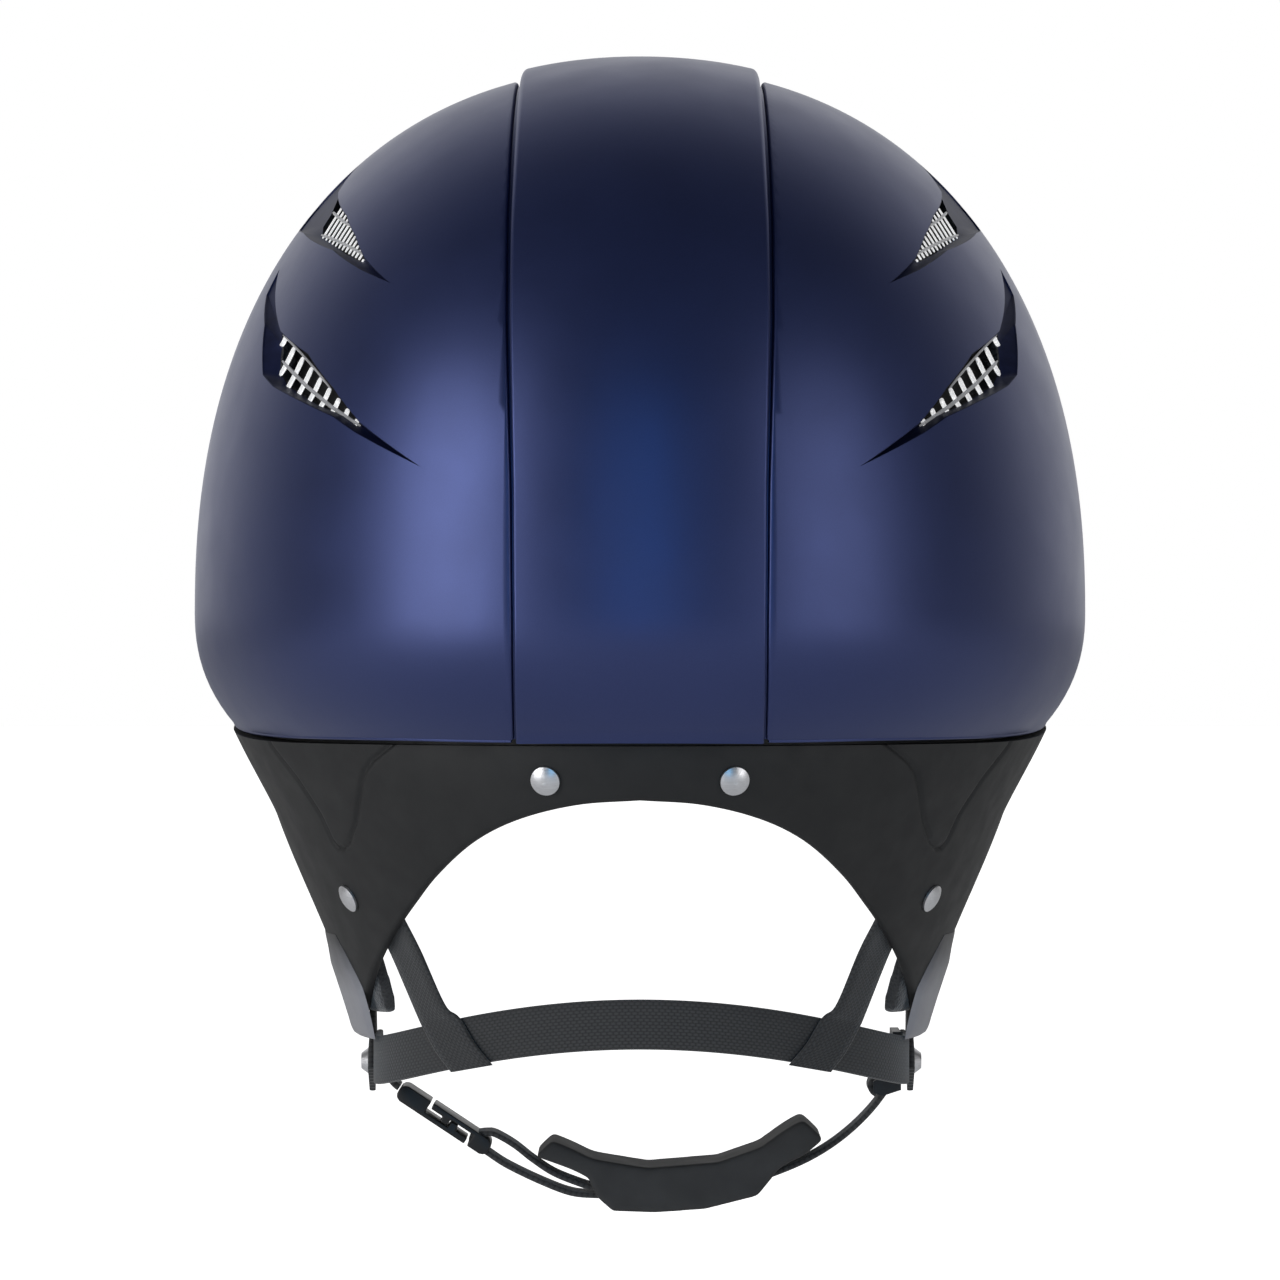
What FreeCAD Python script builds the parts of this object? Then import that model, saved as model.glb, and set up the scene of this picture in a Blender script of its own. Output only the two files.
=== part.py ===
import FreeCAD, Part
import math
import os

# Riding helmet in millimetres: +Z up, +Y to the wearer's front, origin at the head opening.
# The rear lower edge of the shell lies at height zero.

SIZES = {
    "shell_half_width": 115,
    "shell_top": 172.4,
    "widest_height": 32,
    "tuck_depth": 60,
    "form_power": 2.25,
    "length_ratio": 1.165,
    "shell_wall": 3,
    "brow_start": -70,
    "brow_radius": 817,
    "panel_half_width": 31.4,
    "panel_raise": 2.8,
    "panel_depth": 1.5,
    "panel_gap": 0.2,
    "liner_half_width": 84,
    "liner_top": 146,
    "liner_floor": 8,
    "pad_thickness": 6,
    "cradle_wall": 2.4,
    "cradle_top": 6,
    "rivet_head_radius": 3.6,
    "rivet_head_height": 1.6,
    "webbing_width": 12.4,
    "webbing_thickness": 1.6,
    "chin_webbing_thickness": 1.3,
    "stud_height": -84,
    "stud_radius": 1.5,
    "stud_cap_radius": 3.4,
    "stud_cap_height": 1.8,
    "stud_back_height": 1,
    "running_clearance": 0.06,
    "layer_gap": 0.2,
    "left_inner_layer": 65,
    "right_inner_layer": 65.1,
    "slide_plate": 2.2,
    "slide_width": 18,
    "bar_radius": 1.3,
    "bar_x": 61.7,
    "bar_z": -90.3,
    "buckle_x": -50.2,
    "buckle_z": -98.3,
    "buckle_angle": 33.5,
    "buckle_width": 14.4,
    "buckle_gap": 0.9,
    "strap_radius": 88,
    "strap_centre_x": 4.7,
    "strap_centre_z": -30.1,
    "tail_offset": 1.6,
    "chin_pad_width": 26,
    "peak_reach": 46,
    "peak_wall": 3,
}

doc = FreeCAD.newDocument("riding_helmet")
sheet = doc.addObject("Spreadsheet::Sheet", "Sizes")
for row, (alias, value) in enumerate(SIZES.items(), 1):
    sheet.set(f"A{row}", alias)
    sheet.set(f"B{row}", str(value))
    sheet.setAlias(f"B{row}", alias)
doc.recompute()

Vec = FreeCAD.Vector
UP = Vec(0, 0, 1)
SIDES = {"left": -1, "right": 1}


def size(alias):
    return float(sheet.get(alias))


def publish(label, shape):
    """A sub-part whose shape is free-form: its own object, with its own placement."""
    feature = doc.addObject("Part::Feature", label)
    feature.Label = label
    feature.Shape = shape
    feature.Placement = FreeCAD.Placement()


def box(x0, x1, y0, y1, z0, z1):
    return Part.makeBox(x1 - x0, y1 - y0, z1 - z0, Vec(x0, y0, z0))


def prism(points, along):
    """A flat outline pushed along a vector."""
    return Part.Face(Part.makePolygon(points + points[:1])).extrude(along)


def lerp(a, b, share):
    return a + (b - a) * share


# ---- dome form -------------------------------------------------------------------------

def form_radius(height, half_width, top):
    """Half-width of the superellipse form at a height."""
    middle = size("widest_height")
    reach = top - middle if height > middle else size("tuck_depth")
    share = min(abs(height - middle) / reach, 1)
    power = size("form_power")
    return half_width * (1 - share**power) ** (1 / power)


def form_curve(half_width, top, floor):
    """Profile of the form from its floor to its crown."""
    middle = size("widest_height")
    exponent = 2 / size("form_power")
    lower = [lerp(floor, middle, step / 4) for step in range(4)]
    points = [Vec(0, form_radius(z, half_width, top), z) for z in lower]
    for step in range(11):
        turn = math.radians(9 * step)
        radius = half_width * max(math.cos(turn), 0) ** exponent if step < 10 else 0
        points.append(Vec(0, radius, middle + (top - middle) * math.sin(turn) ** exponent))
    across = [Vec(0, -point.y, point.z) for point in reversed(points[:-1])]
    arch = Part.BSplineCurve()
    arch.interpolate(points + across)
    half = arch.toShape(arch.FirstParameter, (arch.FirstParameter + arch.LastParameter) / 2)
    return half, points[0], points[-1]


def turned(outline):
    """Turns an outline about Z, then stretches it along Y."""
    solid = Part.Face(Part.Wire(outline)).revolve(Vec(0, 0, 0), UP, 360)
    stretch = FreeCAD.Matrix()
    stretch.scale(1, size("length_ratio"), 1)
    return solid.transformGeometry(stretch)


def dome_wall(outer, inner, floor=-6):
    """Wall between two forms, each given by its half-width and top."""
    outside, outer_foot, outer_crown = form_curve(*outer, floor)
    inside, inner_foot, inner_crown = form_curve(*inner, floor)
    crown, foot = Part.makeLine(outer_crown, inner_crown), Part.makeLine(inner_foot, outer_foot)
    return turned([outside, crown, inside, foot])


def dome(half_width, top, floor=-6):
    """The same form, filled in."""
    outside, foot, crown = form_curve(half_width, top, floor)
    middle = Vec(0, 0, floor)
    return turned([outside, Part.makeLine(crown, middle), Part.makeLine(middle, foot)])


def shell_face(inset, raise_top=0):
    return size("shell_half_width") - inset, size("shell_top") - inset + raise_top


def above_rim(lift):
    """Everything above the rim line, which is level behind and rises to the brow."""
    start, radius = size("brow_start"), size("brow_radius")
    reach, ceiling = 200, 260
    end = start + radius * math.sin(math.radians(18))
    end_z = radius * (1 - math.cos(math.radians(18)))
    mid = Vec(-reach, start + radius * math.sin(math.radians(9)), radius * (1 - math.cos(math.radians(9))))
    arc = Part.Arc(Vec(-reach, start, 0), mid, Vec(-reach, end, end_z)).toShape()
    corners = [Vec(-reach, end, end_z), Vec(-reach, end, ceiling), Vec(-reach, -reach, ceiling)]
    corners += [Vec(-reach, -reach, 0), Vec(-reach, start, 0)]
    outline = Part.Wire([arc] + Part.makePolygon(corners).Edges)
    region = Part.Face(outline).extrude(Vec(2 * reach, 0, 0))
    region.translate(Vec(0, 0, lift))
    return region


def on_form(x, z, side=-1):
    """Point of the shell's outer face behind (side -1) or before (side 1) the wearer."""
    radius = form_radius(z, size("shell_half_width"), size("shell_top"))
    y = side * size("length_ratio") * math.sqrt(max(radius**2 - x**2, 0))
    return Vec(x, y, z)


# ---- vents -----------------------------------------------------------------------------

# Corners of each window on the left, as (x, z) on the form, and whether it lies behind.
VENTS = {
    "upper": {"corners": [(-74.5, 141), (-81, 126), (-66.5, 117.5)], "side": -1},
    "lower": {"corners": [(-89.5, 103.5), (-90, 88), (-70.5, 78.5)], "side": -1},
    "front": {"corners": [(-96, 108), (-101, 92), (-88, 86)], "side": 1},
}
GRILLE_DEPTH = 5.5
GRILLE_WALL = 1.2
MESH_BARS = 7
MESH_PITCH = 3.6
MESH_HOLE = (2.2, 3.4)
MESH_RIB = 4.8


def vent_points(vent, mirror):
    """Window corners on the form, mirrored for the right, with their centre."""
    points = [on_form(x, z, vent["side"]) for x, z in vent["corners"]]
    points = [Vec(-p.x * mirror, p.y, p.z) for p in points]
    return points, (points[0] + points[1] + points[2]) * (1 / 3)


def window(vent, mirror, grow, depth_from, depth_to):
    """Three-sided prism through the form along the window's own normal."""
    points, centre = vent_points(vent, mirror)
    normal = (points[1] - points[0]).cross(points[2] - points[0]).normalize()
    outward = normal if normal.dot(Vec(centre.x, centre.y, centre.z - 30)) > 0 else normal * -1
    spread = [centre + (p - centre) * grow + outward * depth_from for p in points]
    return prism(spread, outward * (depth_to - depth_from))


def grille(vent, mirror):
    """Ladder mesh: a frame, one long rib and short bars, all one thin moulding."""
    plate = window(vent, mirror, 1.12, -GRILLE_DEPTH - GRILLE_WALL, -GRILLE_DEPTH)
    inside = window(vent, mirror, 0.8, -20, 10)
    points, centre = vent_points(vent, mirror)
    normal = (points[1] - points[0]).cross(points[2] - points[0]).normalize()
    along = (points[2] - (points[0] + points[1]) * 0.5).normalize()
    across = normal.cross(along).normalize()
    spin = FreeCAD.Rotation(along, across, normal, "ZXY")
    wide, tall = MESH_HOLE
    for row in (-0.5, 0.5):
        for step in range(MESH_BARS):
            offset = (step - (MESH_BARS - 1) / 2) * MESH_PITCH
            hole = Part.makeBox(wide, tall, 30, Vec(-wide / 2, -tall / 2, -15))
            hole.Placement = FreeCAD.Placement(centre + along * offset + across * (row * MESH_RIB), spin)
            plate = plate.cut(hole.common(inside))
    return plate


# ---- shell, panel, peak and liner --------------------------------------------------------

def build_shell():
    half = size("panel_half_width") + size("panel_gap")
    strip = box(-half, half, -160, 160, -10, 200)
    inner = shell_face(size("shell_wall"))
    sides = dome_wall(shell_face(0), inner).cut(strip)
    web = dome_wall(shell_face(size("panel_depth") + 0.1), inner).common(strip)
    shell = sides.fuse(web).removeSplitter().common(above_rim(0))
    for vent in VENTS.values():
        for mirror in SIDES.values():
            shell = shell.cut(window(vent, mirror, 1, -25, 12))
    publish("outer_shell", shell)


def build_panel():
    half = size("panel_half_width")
    panel = dome_wall(shell_face(0, size("panel_raise")), shell_face(size("panel_depth")))
    panel = panel.common(box(-half, half, -160, 160, -10, 200)).common(above_rim(0))
    publish("crown_panel", panel)


PEAK_ARCH = 190
PEAK_HEIGHT = 46
PEAK_DROOP = -0.16
PEAK_HALF_WIDTH = 92
PEAK_PLAN_LENGTH = 60


def build_peak():
    """A short arched peak on the brow, cut from a curved sheet that droops to the front."""
    front = size("shell_half_width") * size("length_ratio")
    axis_z = PEAK_HEIGHT - PEAK_ARCH
    along = Vec(0, 1, PEAK_DROOP)
    outer = Part.makeCylinder(PEAK_ARCH, 130, Vec(0, front - 62, axis_z), along)
    inner = Part.makeCylinder(PEAK_ARCH - size("peak_wall"), 150, Vec(0, front - 72, axis_z), along)
    tip = Vec(0, front + size("peak_reach"), 0)
    plan = Part.Ellipse(tip, Vec(PEAK_HALF_WIDTH, PEAK_PLAN_LENGTH, 0), Vec(0, PEAK_PLAN_LENGTH, 0))
    block = Part.Face(Part.Wire(plan.toShape())).extrude(Vec(0, 0, 90))
    peak = outer.cut(inner).common(block).cut(dome(*shell_face(-0.3, size("panel_raise"))))
    ahead = peak.common(box(-120, 120, 60, 220, -20, 90))
    publish("peak", max(ahead.Solids, key=lambda solid: solid.Volume))


def build_liner():
    cavity = (size("liner_half_width"), size("liner_top"))
    liner = dome_wall(shell_face(size("shell_wall") + 0.3), cavity).common(above_rim(size("liner_floor")))
    for vent in VENTS.values():
        for mirror in SIDES.values():
            liner = liner.cut(window(vent, mirror, 1.3, -14, 12))
    publish("impact_liner", liner)


def build_soft_lining():
    wide, top = size("liner_half_width") - 0.3, size("liner_top") - 0.3
    thick = size("pad_thickness")
    skin = dome_wall((wide, top), (wide - thick, top - thick))
    band = skin.common(above_rim(size("liner_floor") + 2)).common(box(-200, 200, -200, 200, 0, 62))
    publish("headband", band)
    publish("crown_pad", skin.common(box(-200, 200, -200, 200, 96, 200)))


# ---- cradle and what is on it --------------------------------------------------------------

# The cradle's outer face narrows from the shell's rim down to the ear tips.
CRADLE_HEAD = (99, 115)
CRADLE_NARROWING = (26, 39)
CRADLE_DROP = 83
CRADLE_BEND = 2.49
CRADLE_ARCH = -14
CRADLE_TIP = -73
TIP_TURN = 78
RIVET_SHANK = 0.45
RIVET_PLACES = [(-13.5, -8.8), (13.5, -8.8), (-58, -39.6), (58, -39.6)]


def cradle_level(z):
    """Half-width and half-length at a height: upright at the rim, then tapering in."""
    share = (size("cradle_top") - z) / CRADLE_DROP
    narrow = CRADLE_BEND * share**2 + (1 - CRADLE_BEND) * share**3
    return [head - fall * narrow for head, fall in zip(CRADLE_HEAD, CRADLE_NARROWING)]


def cradle_point(turn, z, inset=0):
    """Point of the cradle at a turn in degrees from the rear, to the right when positive."""
    wide, long = cradle_level(z)
    angle = math.radians(turn)
    return Vec((wide - inset) * math.sin(angle), -(long - inset) * math.cos(angle), z)


def cradle_edge(turn):
    """Height of the cradle's lower edge: an arch over the nape, down to the ear tips."""
    share = min(abs(turn) / TIP_TURN, 1) ** 1.65
    return lerp(CRADLE_ARCH, CRADLE_TIP, share)


def curved_skin(turns, top, low, outer, inner):
    """Sheet along the cradle's face between two insets; top and low are functions of turn."""
    rows = 5
    faces, rims = [], []
    for inset in (outer, inner):
        grid = [[cradle_point(turn, lerp(top(turn), low(turn), row / rows), inset)
                 for row in range(rows + 1)] for turn in turns]
        surface = Part.BSplineSurface()
        surface.interpolate(grid)
        u0, u1, v0, v1 = surface.bounds()
        faces.append(surface.toShape())
        rims.append([surface.uIso(u0), surface.uIso(u1), surface.vIso(v0), surface.vIso(v1)])
    for outer_rim, inner_rim in zip(*rims):
        faces.append(Part.makeRuledSurface(outer_rim.toShape(), inner_rim.toShape()))
    skin = Part.makeShell(faces)
    skin.sewShape()
    solid = Part.makeSolid(skin)
    if solid.Volume < 0:
        solid.reverse()
    return solid


def front_lean(solid):
    """Cuts the sheet's front edge, which leans forward from the ear tip up to the shell."""
    far = 200
    corners = [Vec(-far, 6, -90), Vec(-far, 6, CRADLE_TIP), Vec(-far, 48, 20), Vec(-far, 200, 20)]
    corners.append(Vec(-far, 200, -90))
    return solid.cut(prism(corners, Vec(2 * far, 0, 0)))


def rivet(point, outward):
    """Domed head on a short shank, pointing outward."""
    radius, height = size("rivet_head_radius"), size("rivet_head_height")
    rim, foot = height * 0.35, 0.1
    crown = height - rim
    ball = (radius**2 + crown**2) / (2 * crown)
    head = Part.makeCylinder(radius, height, Vec(0, 0, foot))
    head = head.common(Part.makeSphere(ball, Vec(0, 0, foot + height - ball)))
    depth = size("cradle_wall")
    body = head.fuse(Part.makeCylinder(radius * RIVET_SHANK, depth + 0.6, Vec(0, 0, -depth)))
    body.Placement = FreeCAD.Placement(point, FreeCAD.Rotation(UP, outward))
    return body


def cradle_normal(turn, z):
    across = cradle_point(turn + 1, z) - cradle_point(turn - 1, z)
    down = cradle_point(turn, z - 1) - cradle_point(turn, z + 1)
    normal = down.cross(across).normalize()
    radial = Vec(math.sin(math.radians(turn)), -math.cos(math.radians(turn)), 0)
    return normal if normal.dot(radial) > 0 else normal * -1


def build_cradle():
    turns = [-118 + 236 * step / 32 for step in range(33)]
    skin = curved_skin(turns, lambda turn: size("cradle_top"), cradle_edge, 0, size("cradle_wall"))
    skin = front_lean(skin)
    heads = []
    shank = size("rivet_head_radius") * RIVET_SHANK
    for turn, z in RIVET_PLACES:
        point, outward = cradle_point(turn, z), cradle_normal(turn, z)
        skin = skin.cut(Part.makeCylinder(shank, 12, point - outward * 6, outward))
        heads.append(rivet(point, outward))
    publish("nape_cradle", skin)
    publish("cradle_rivets", Part.makeCompound(heads))


def build_ear_pieces():
    wall = size("cradle_wall")
    for name, side in SIDES.items():
        turns = [side * (67 + 27 * step / 6) for step in range(7)]
        cover = curved_skin(turns, lambda turn: -50, lambda turn: -76.5, -1.9, -0.15)
        publish(f"ear_cover_{name}", front_lean(cover))
        turns = [side * (63 + 20 * step / 5) for step in range(6)]
        publish(f"ear_pad_{name}",
                curved_skin(turns, lambda turn: -34, lambda turn: -70, wall + 0.2, wall + 7.4))


# ---- harness ---------------------------------------------------------------------------------

# Outermost first, the layers on each stud: front strap, nape band, then the swinging piece.
def layer(side, index):
    """Inner and outer distance from the middle plane of a layer at a stud."""
    webbing, gap = size("webbing_thickness"), size("layer_gap")
    if side < 0:
        first = size("left_inner_layer")
        first_wall = webbing
    else:
        first = size("right_inner_layer")
        first_wall = size("slide_plate")
    walls = [first_wall, webbing, webbing]
    inner = first + sum(walls[:index]) + gap * index
    return inner, inner + walls[index]


BAND_STRAIGHT = 14
BAND_REAR = 60
BAND_END_Z = -82.5
BAND_RISE = 12.7


def band_station(turn):
    """Centre of the nape band's middle face and its outward direction, turn 0 at the rear."""
    angle = math.radians(turn)
    side = -1 if turn < 0 else 1
    inner, outer = layer(side, 1)
    reach = (inner + outer) / 2
    z = BAND_END_Z + BAND_RISE * math.cos(angle) ** 2
    centre = Vec(reach * math.sin(abs(angle)) * side, -BAND_STRAIGHT - BAND_REAR * math.cos(angle), z)
    outward = Vec(side * math.sin(abs(angle)) * BAND_REAR, -math.cos(angle) * reach, 0).normalize()
    return centre, outward


def strap_section(centre, outward, up, width, thickness):
    """Rectangular section of webbing."""
    out, rise = outward * (thickness / 2), up * (width / 2)
    corners = [centre + out + rise, centre + out - rise, centre - out - rise, centre - out + rise]
    return Part.makePolygon(corners + corners[:1])


def stud_hole(side, slack=0.0):
    return Part.makeCylinder(size("stud_radius") + slack, 20, Vec(side * 58, 0, size("stud_height")),
                             Vec(side, 0, 0))


def build_nape_band():
    webbing, wide = size("webbing_thickness"), size("webbing_width")
    sections = []
    for step in range(19):
        centre, outward = band_station(-90 + 10 * step)
        sections.append(strap_section(centre, outward, UP, wide, webbing))
    band = Part.makeLoft(sections, True)
    for side in SIDES.values():
        inner, outer = layer(side, 1)
        low = min(side * inner, side * outer)
        end = box(low, low + webbing, -BAND_STRAIGHT, 6, BAND_END_Z - wide / 2, BAND_END_Z + wide / 2)
        band = band.fuse(end).cut(stud_hole(side))
    publish("nape_band", band.removeSplitter())


def build_front_straps():
    webbing, wide = size("webbing_thickness"), size("webbing_width")
    for name, side in SIDES.items():
        inner, outer = layer(side, 2)
        middle = side * (inner + outer) / 2
        foot = Vec(middle, 0, size("stud_height"))
        head = Vec(side * 74, 59, 5)
        along = (head - foot).normalize()
        knee = foot + along * 12
        knee.x = middle
        across = Vec(0, along.z, -along.y).normalize()
        start = Vec(middle, -3, size("stud_height") - 4.6)
        sections = []
        for centre in (start, knee, head):
            sections.append(strap_section(centre, Vec(side, 0, 0), across, wide, webbing))
        strap = Part.makeLoft(sections, True, True).cut(stud_hole(side))
        publish(f"front_strap_{name}", strap)


# Height, turns of the two edges and extra inset of the rear strap where it runs inside the cradle.
REAR_STRAP_ROWS = [(-33, (61, 52.5), 0.1), (-42, (59.5, 50.5), 0.3), (-50, (56.5, 47.5), 0.9)]


def build_rear_straps():
    """Each follows the cradle's inner face down to its edge, then lies on the nape band's outer face."""
    webbing, gap = size("webbing_thickness"), size("layer_gap")
    rivet_turn, rivet_z = RIVET_PLACES[-1]
    for name, side in SIDES.items():
        inset = size("cradle_wall") + gap + webbing / 2
        lift = webbing + gap * 2
        rows = []
        for z, turns, inward in REAR_STRAP_ROWS:
            rows.append([cradle_point(side * turn, z, inset + inward) for turn in turns])
        foot = []
        for turn, z in ((48, -81.5), (37.5, -79)):
            centre, outward = band_station(side * turn)
            point = centre + outward * lift
            foot.append(Vec(point.x, point.y, z))
        rows.append(foot)
        outs = [cradle_normal(side * 55, z) for z, turns, inward in REAR_STRAP_ROWS]
        outs.append(band_station(side * 43)[1])
        sections = []
        for (left, right), outward in zip(rows, outs):
            out = outward * (webbing / 2)
            corners = [left + out, right + out, right - out, left - out]
            sections.append(Part.makePolygon(corners + corners[:1]))
        point, outward = cradle_point(side * rivet_turn, rivet_z), cradle_normal(side * rivet_turn, rivet_z)
        shank = size("rivet_head_radius") * RIVET_SHANK
        hole = Part.makeCylinder(shank + 0.2, 12, point - outward * 8, outward)
        publish(f"rear_strap_{name}", Part.makeLoft(sections, True, True).cut(hole))


def bound_cylinder(label, radius, length, place):
    """A Part cylinder whose radius and height are bound to the sheet."""
    cylinder = doc.addObject("Part::Cylinder", label)
    cylinder.setExpression("Radius", radius)
    cylinder.setExpression("Height", length)
    cylinder.Placement = place
    return cylinder


def build_studs():
    inner_wall = {"left": "Sizes.webbing_thickness", "right": "Sizes.slide_plate"}
    for name, side in SIDES.items():
        gap = size("layer_gap")
        inner = layer(side, 0)[0] - gap
        outer = layer(side, 2)[1] + gap
        turn = FreeCAD.Rotation(UP, Vec(side, 0, 0))
        height = size("stud_height")

        def place(distance):
            return FreeCAD.Placement(Vec(side * distance, 0, height), turn)

        back = bound_cylinder(f"StudBack_{name}", "Sizes.stud_cap_radius", "Sizes.stud_back_height",
                              place(inner - size("stud_back_height")))
        stack = f"{inner_wall[name]} + Sizes.webbing_thickness * 2 + Sizes.layer_gap * 6"
        shank = bound_cylinder(f"StudShank_{name}", "Sizes.stud_radius", stack, place(inner - gap))
        cap = doc.addObject("Part::Cone", f"StudCap_{name}")
        cap.setExpression("Radius1", "Sizes.stud_cap_radius")
        cap.setExpression("Radius2", "Sizes.stud_cap_radius * 0.6")
        cap.setExpression("Height", "Sizes.stud_cap_height")
        cap.Placement = place(outer)
        stud = doc.addObject("Part::MultiFuse", f"harness_rivet_{name}")
        stud.Label = f"harness_rivet_{name}"
        stud.Shapes = [back, shank, cap]


def ribbon(points, thickness, width):
    """Webbing seen edge-on: a flat band along a curve in the XZ plane."""
    centre = Part.BSplineCurve()
    centre.interpolate(points)
    steps = 6 * (len(points) - 1)
    rails = [[], []]
    for step in range(steps + 1):
        knob = lerp(centre.FirstParameter, centre.LastParameter, step / steps)
        spot, along = centre.value(knob), centre.tangent(knob)[0]
        across = Vec(-along.z, 0, along.x).normalize() * (thickness / 2)
        rails[0].append(spot + across)
        rails[1].append(spot - across)
    edges = []
    for rail in rails:
        curve = Part.BSplineCurve()
        curve.interpolate(rail)
        edges.append(curve.toShape())
    ends = [Part.makeLine(rails[0][-1], rails[1][-1]), Part.makeLine(rails[1][0], rails[0][0])]
    face = Part.Face(Part.Wire([edges[0], ends[0], edges[1], ends[1]]))
    solid = face.extrude(Vec(0, width, 0))
    solid.translate(Vec(0, -width / 2, 0))
    return solid


def heading(degrees):
    """Unit vector in the XZ plane."""
    return Vec(math.cos(math.radians(degrees)), 0, math.sin(math.radians(degrees)))


def buckle_place():
    spin = FreeCAD.Rotation(Vec(0, 1, 0), size("buckle_angle"))
    return FreeCAD.Placement(Vec(size("buckle_x"), 0, size("buckle_z")), spin)


def in_buckle(along, across):
    return buckle_place().multVec(Vec(along, 0, across))


def build_chin_tab():
    inner, outer = layer(-1, 0)
    middle = -(inner + outer) / 2
    bend = 8
    angle = size("buckle_angle")
    drop = size("stud_height")
    points = [Vec(middle, 0, drop + 5.5), Vec(middle, 0, drop + 2.5), Vec(middle, 0, drop)]
    for turn in (20, 40, 90 - angle):
        arm = math.radians(turn)
        points.append(Vec(middle + bend * (1 - math.cos(arm)), 0, drop - bend * math.sin(arm)))
    tab = ribbon(points, outer - inner, size("webbing_width"))
    pressed = inner - size("layer_gap") / 2
    under_cap = Part.makeCylinder(size("stud_cap_radius") + 0.2, 6, Vec(6 - pressed, 0, drop), Vec(-1, 0, 0))
    publish("chin_tab_left", tab.cut(under_cap).cut(stud_hole(-1, size("running_clearance"))))


def hook_sketch(body, label, corners):
    """Closed outline of a hook in the body's own XZ plane."""
    plane = next(item for item in body.Origin.OriginFeatures if item.Role == "XZ_Plane")
    sketch = body.newObject("Sketcher::SketchObject", label)
    sketch.AttachmentSupport = [(plane, "")]
    sketch.MapMode = "FlatFace"
    for start, end in zip(corners, corners[1:] + corners[:1]):
        sketch.addGeometry(Part.LineSegment(Vec(*start, 0), Vec(*end, 0)))
    return sketch


def build_hook(label, corners):
    """A J hook: its outline padded to the buckle's width."""
    body = doc.addObject("PartDesign::Body", label)
    body.Label = label
    pad = body.newObject("PartDesign::Pad", f"{label}_pad")
    pad.Profile = hook_sketch(body, f"{label}_outline", corners)
    pad.Midplane = True
    pad.setExpression("Length", "Sizes.buckle_width")
    body.Placement = buckle_place()
    return body


def add_strap_bar(body):
    """A window through the hook, and the round bar in it that the webbing turns round."""
    start, end = HOOK_WINDOW
    pocket = body.newObject("PartDesign::Pocket", "strap_window")
    pocket.Profile = hook_sketch(body, "window_outline", [(start, -6), (end, -6), (end, 6), (start, 6)])
    pocket.Midplane = True
    pocket.setExpression("Length", "Sizes.webbing_width + 0.6")
    sketch = hook_sketch(body, "bar_outline", [])
    sketch.addGeometry(Part.Circle(Vec(HOOK_BAR, 0, 0), UP, size("bar_radius")))
    bar = body.newObject("PartDesign::Pad", "strap_bar")
    bar.Profile = sketch
    bar.Midplane = True
    bar.setExpression("Length", "Sizes.buckle_width")


HOOK_END = 14
HOOK_BLOCK = 6
HOOK_BAR = 11.6
HOOK_WINDOW = (8.2, 16)
HOOK_HALF = 5
HOOK_ARM = 2.3
HOOK_LEAN = 0.8
TIP_END = 5.1


def build_buckle():
    """Two J hooks; their faces lean along the path that the lower hook takes when it opens."""
    gap = size("buckle_gap")
    reach = HOOK_ARM - gap
    face = gap / 2 * math.hypot(1, HOOK_LEAN)
    left = [(-HOOK_END, -HOOK_HALF), (-HOOK_BLOCK, -HOOK_HALF), (-HOOK_BLOCK, HOOK_ARM),
            (face - HOOK_LEAN * HOOK_ARM, HOOK_ARM), (face + HOOK_LEAN * reach, -reach),
            (TIP_END, -reach), (TIP_END, HOOK_HALF), (-HOOK_END, HOOK_HALF)]
    right = [(HOOK_END - 1.5, HOOK_HALF), (HOOK_BLOCK, HOOK_HALF), (HOOK_BLOCK, -HOOK_ARM),
             (-face + HOOK_LEAN * HOOK_ARM, -HOOK_ARM), (-face - HOOK_LEAN * reach, reach),
             (-TIP_END, reach), (-TIP_END, -HOOK_HALF), (HOOK_END - 1.5, -HOOK_HALF)]
    build_hook("buckle_hook_left", left)
    add_strap_bar(build_hook("buckle_hook_right", right))


STRAP_ENTRY = -14.5
STRAP_LEAVE = 25
TAIL_END = -3
SLIDE_HEADING = 56.4
HOOK_RING = 2.35
LOOP_SEAM = 0.15


def arc_point(turn, radius):
    """Point on the chin strap's arc, turn 0 at its lowest point, to the right when positive."""
    return Vec(size("strap_centre_x") + radius * math.sin(math.radians(turn)), 0,
               size("strap_centre_z") - radius * math.cos(math.radians(turn)))


def hermite(start, start_pull, end, end_pull, share):
    s2, s3 = share**2, share**3
    return (start * (2 * s3 - 3 * s2 + 1) + start_pull * (s3 - 2 * s2 + share)
            + end * (-2 * s3 + 3 * s2) + end_pull * (s3 - s2))


def loop_ring(centre, inner, thickness, width):
    ring = Part.makeCylinder(inner + thickness, width, Vec(centre.x, -width / 2, centre.z), Vec(0, 1, 0))
    return ring.cut(Part.makeCylinder(inner, width, Vec(centre.x, -width / 2, centre.z), Vec(0, 1, 0)))


def strand_to_hook(offset, radius):
    """Points from the hook's bar to the chin strap's arc, at an offset across the buckle."""
    start, ahead = in_buckle(HOOK_BAR, offset), heading(-size("buckle_angle")) * 16
    end, along = arc_point(STRAP_ENTRY, radius), heading(STRAP_ENTRY) * 16
    return [hermite(start, ahead, end, along, step / 5) for step in range(5)]


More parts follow.
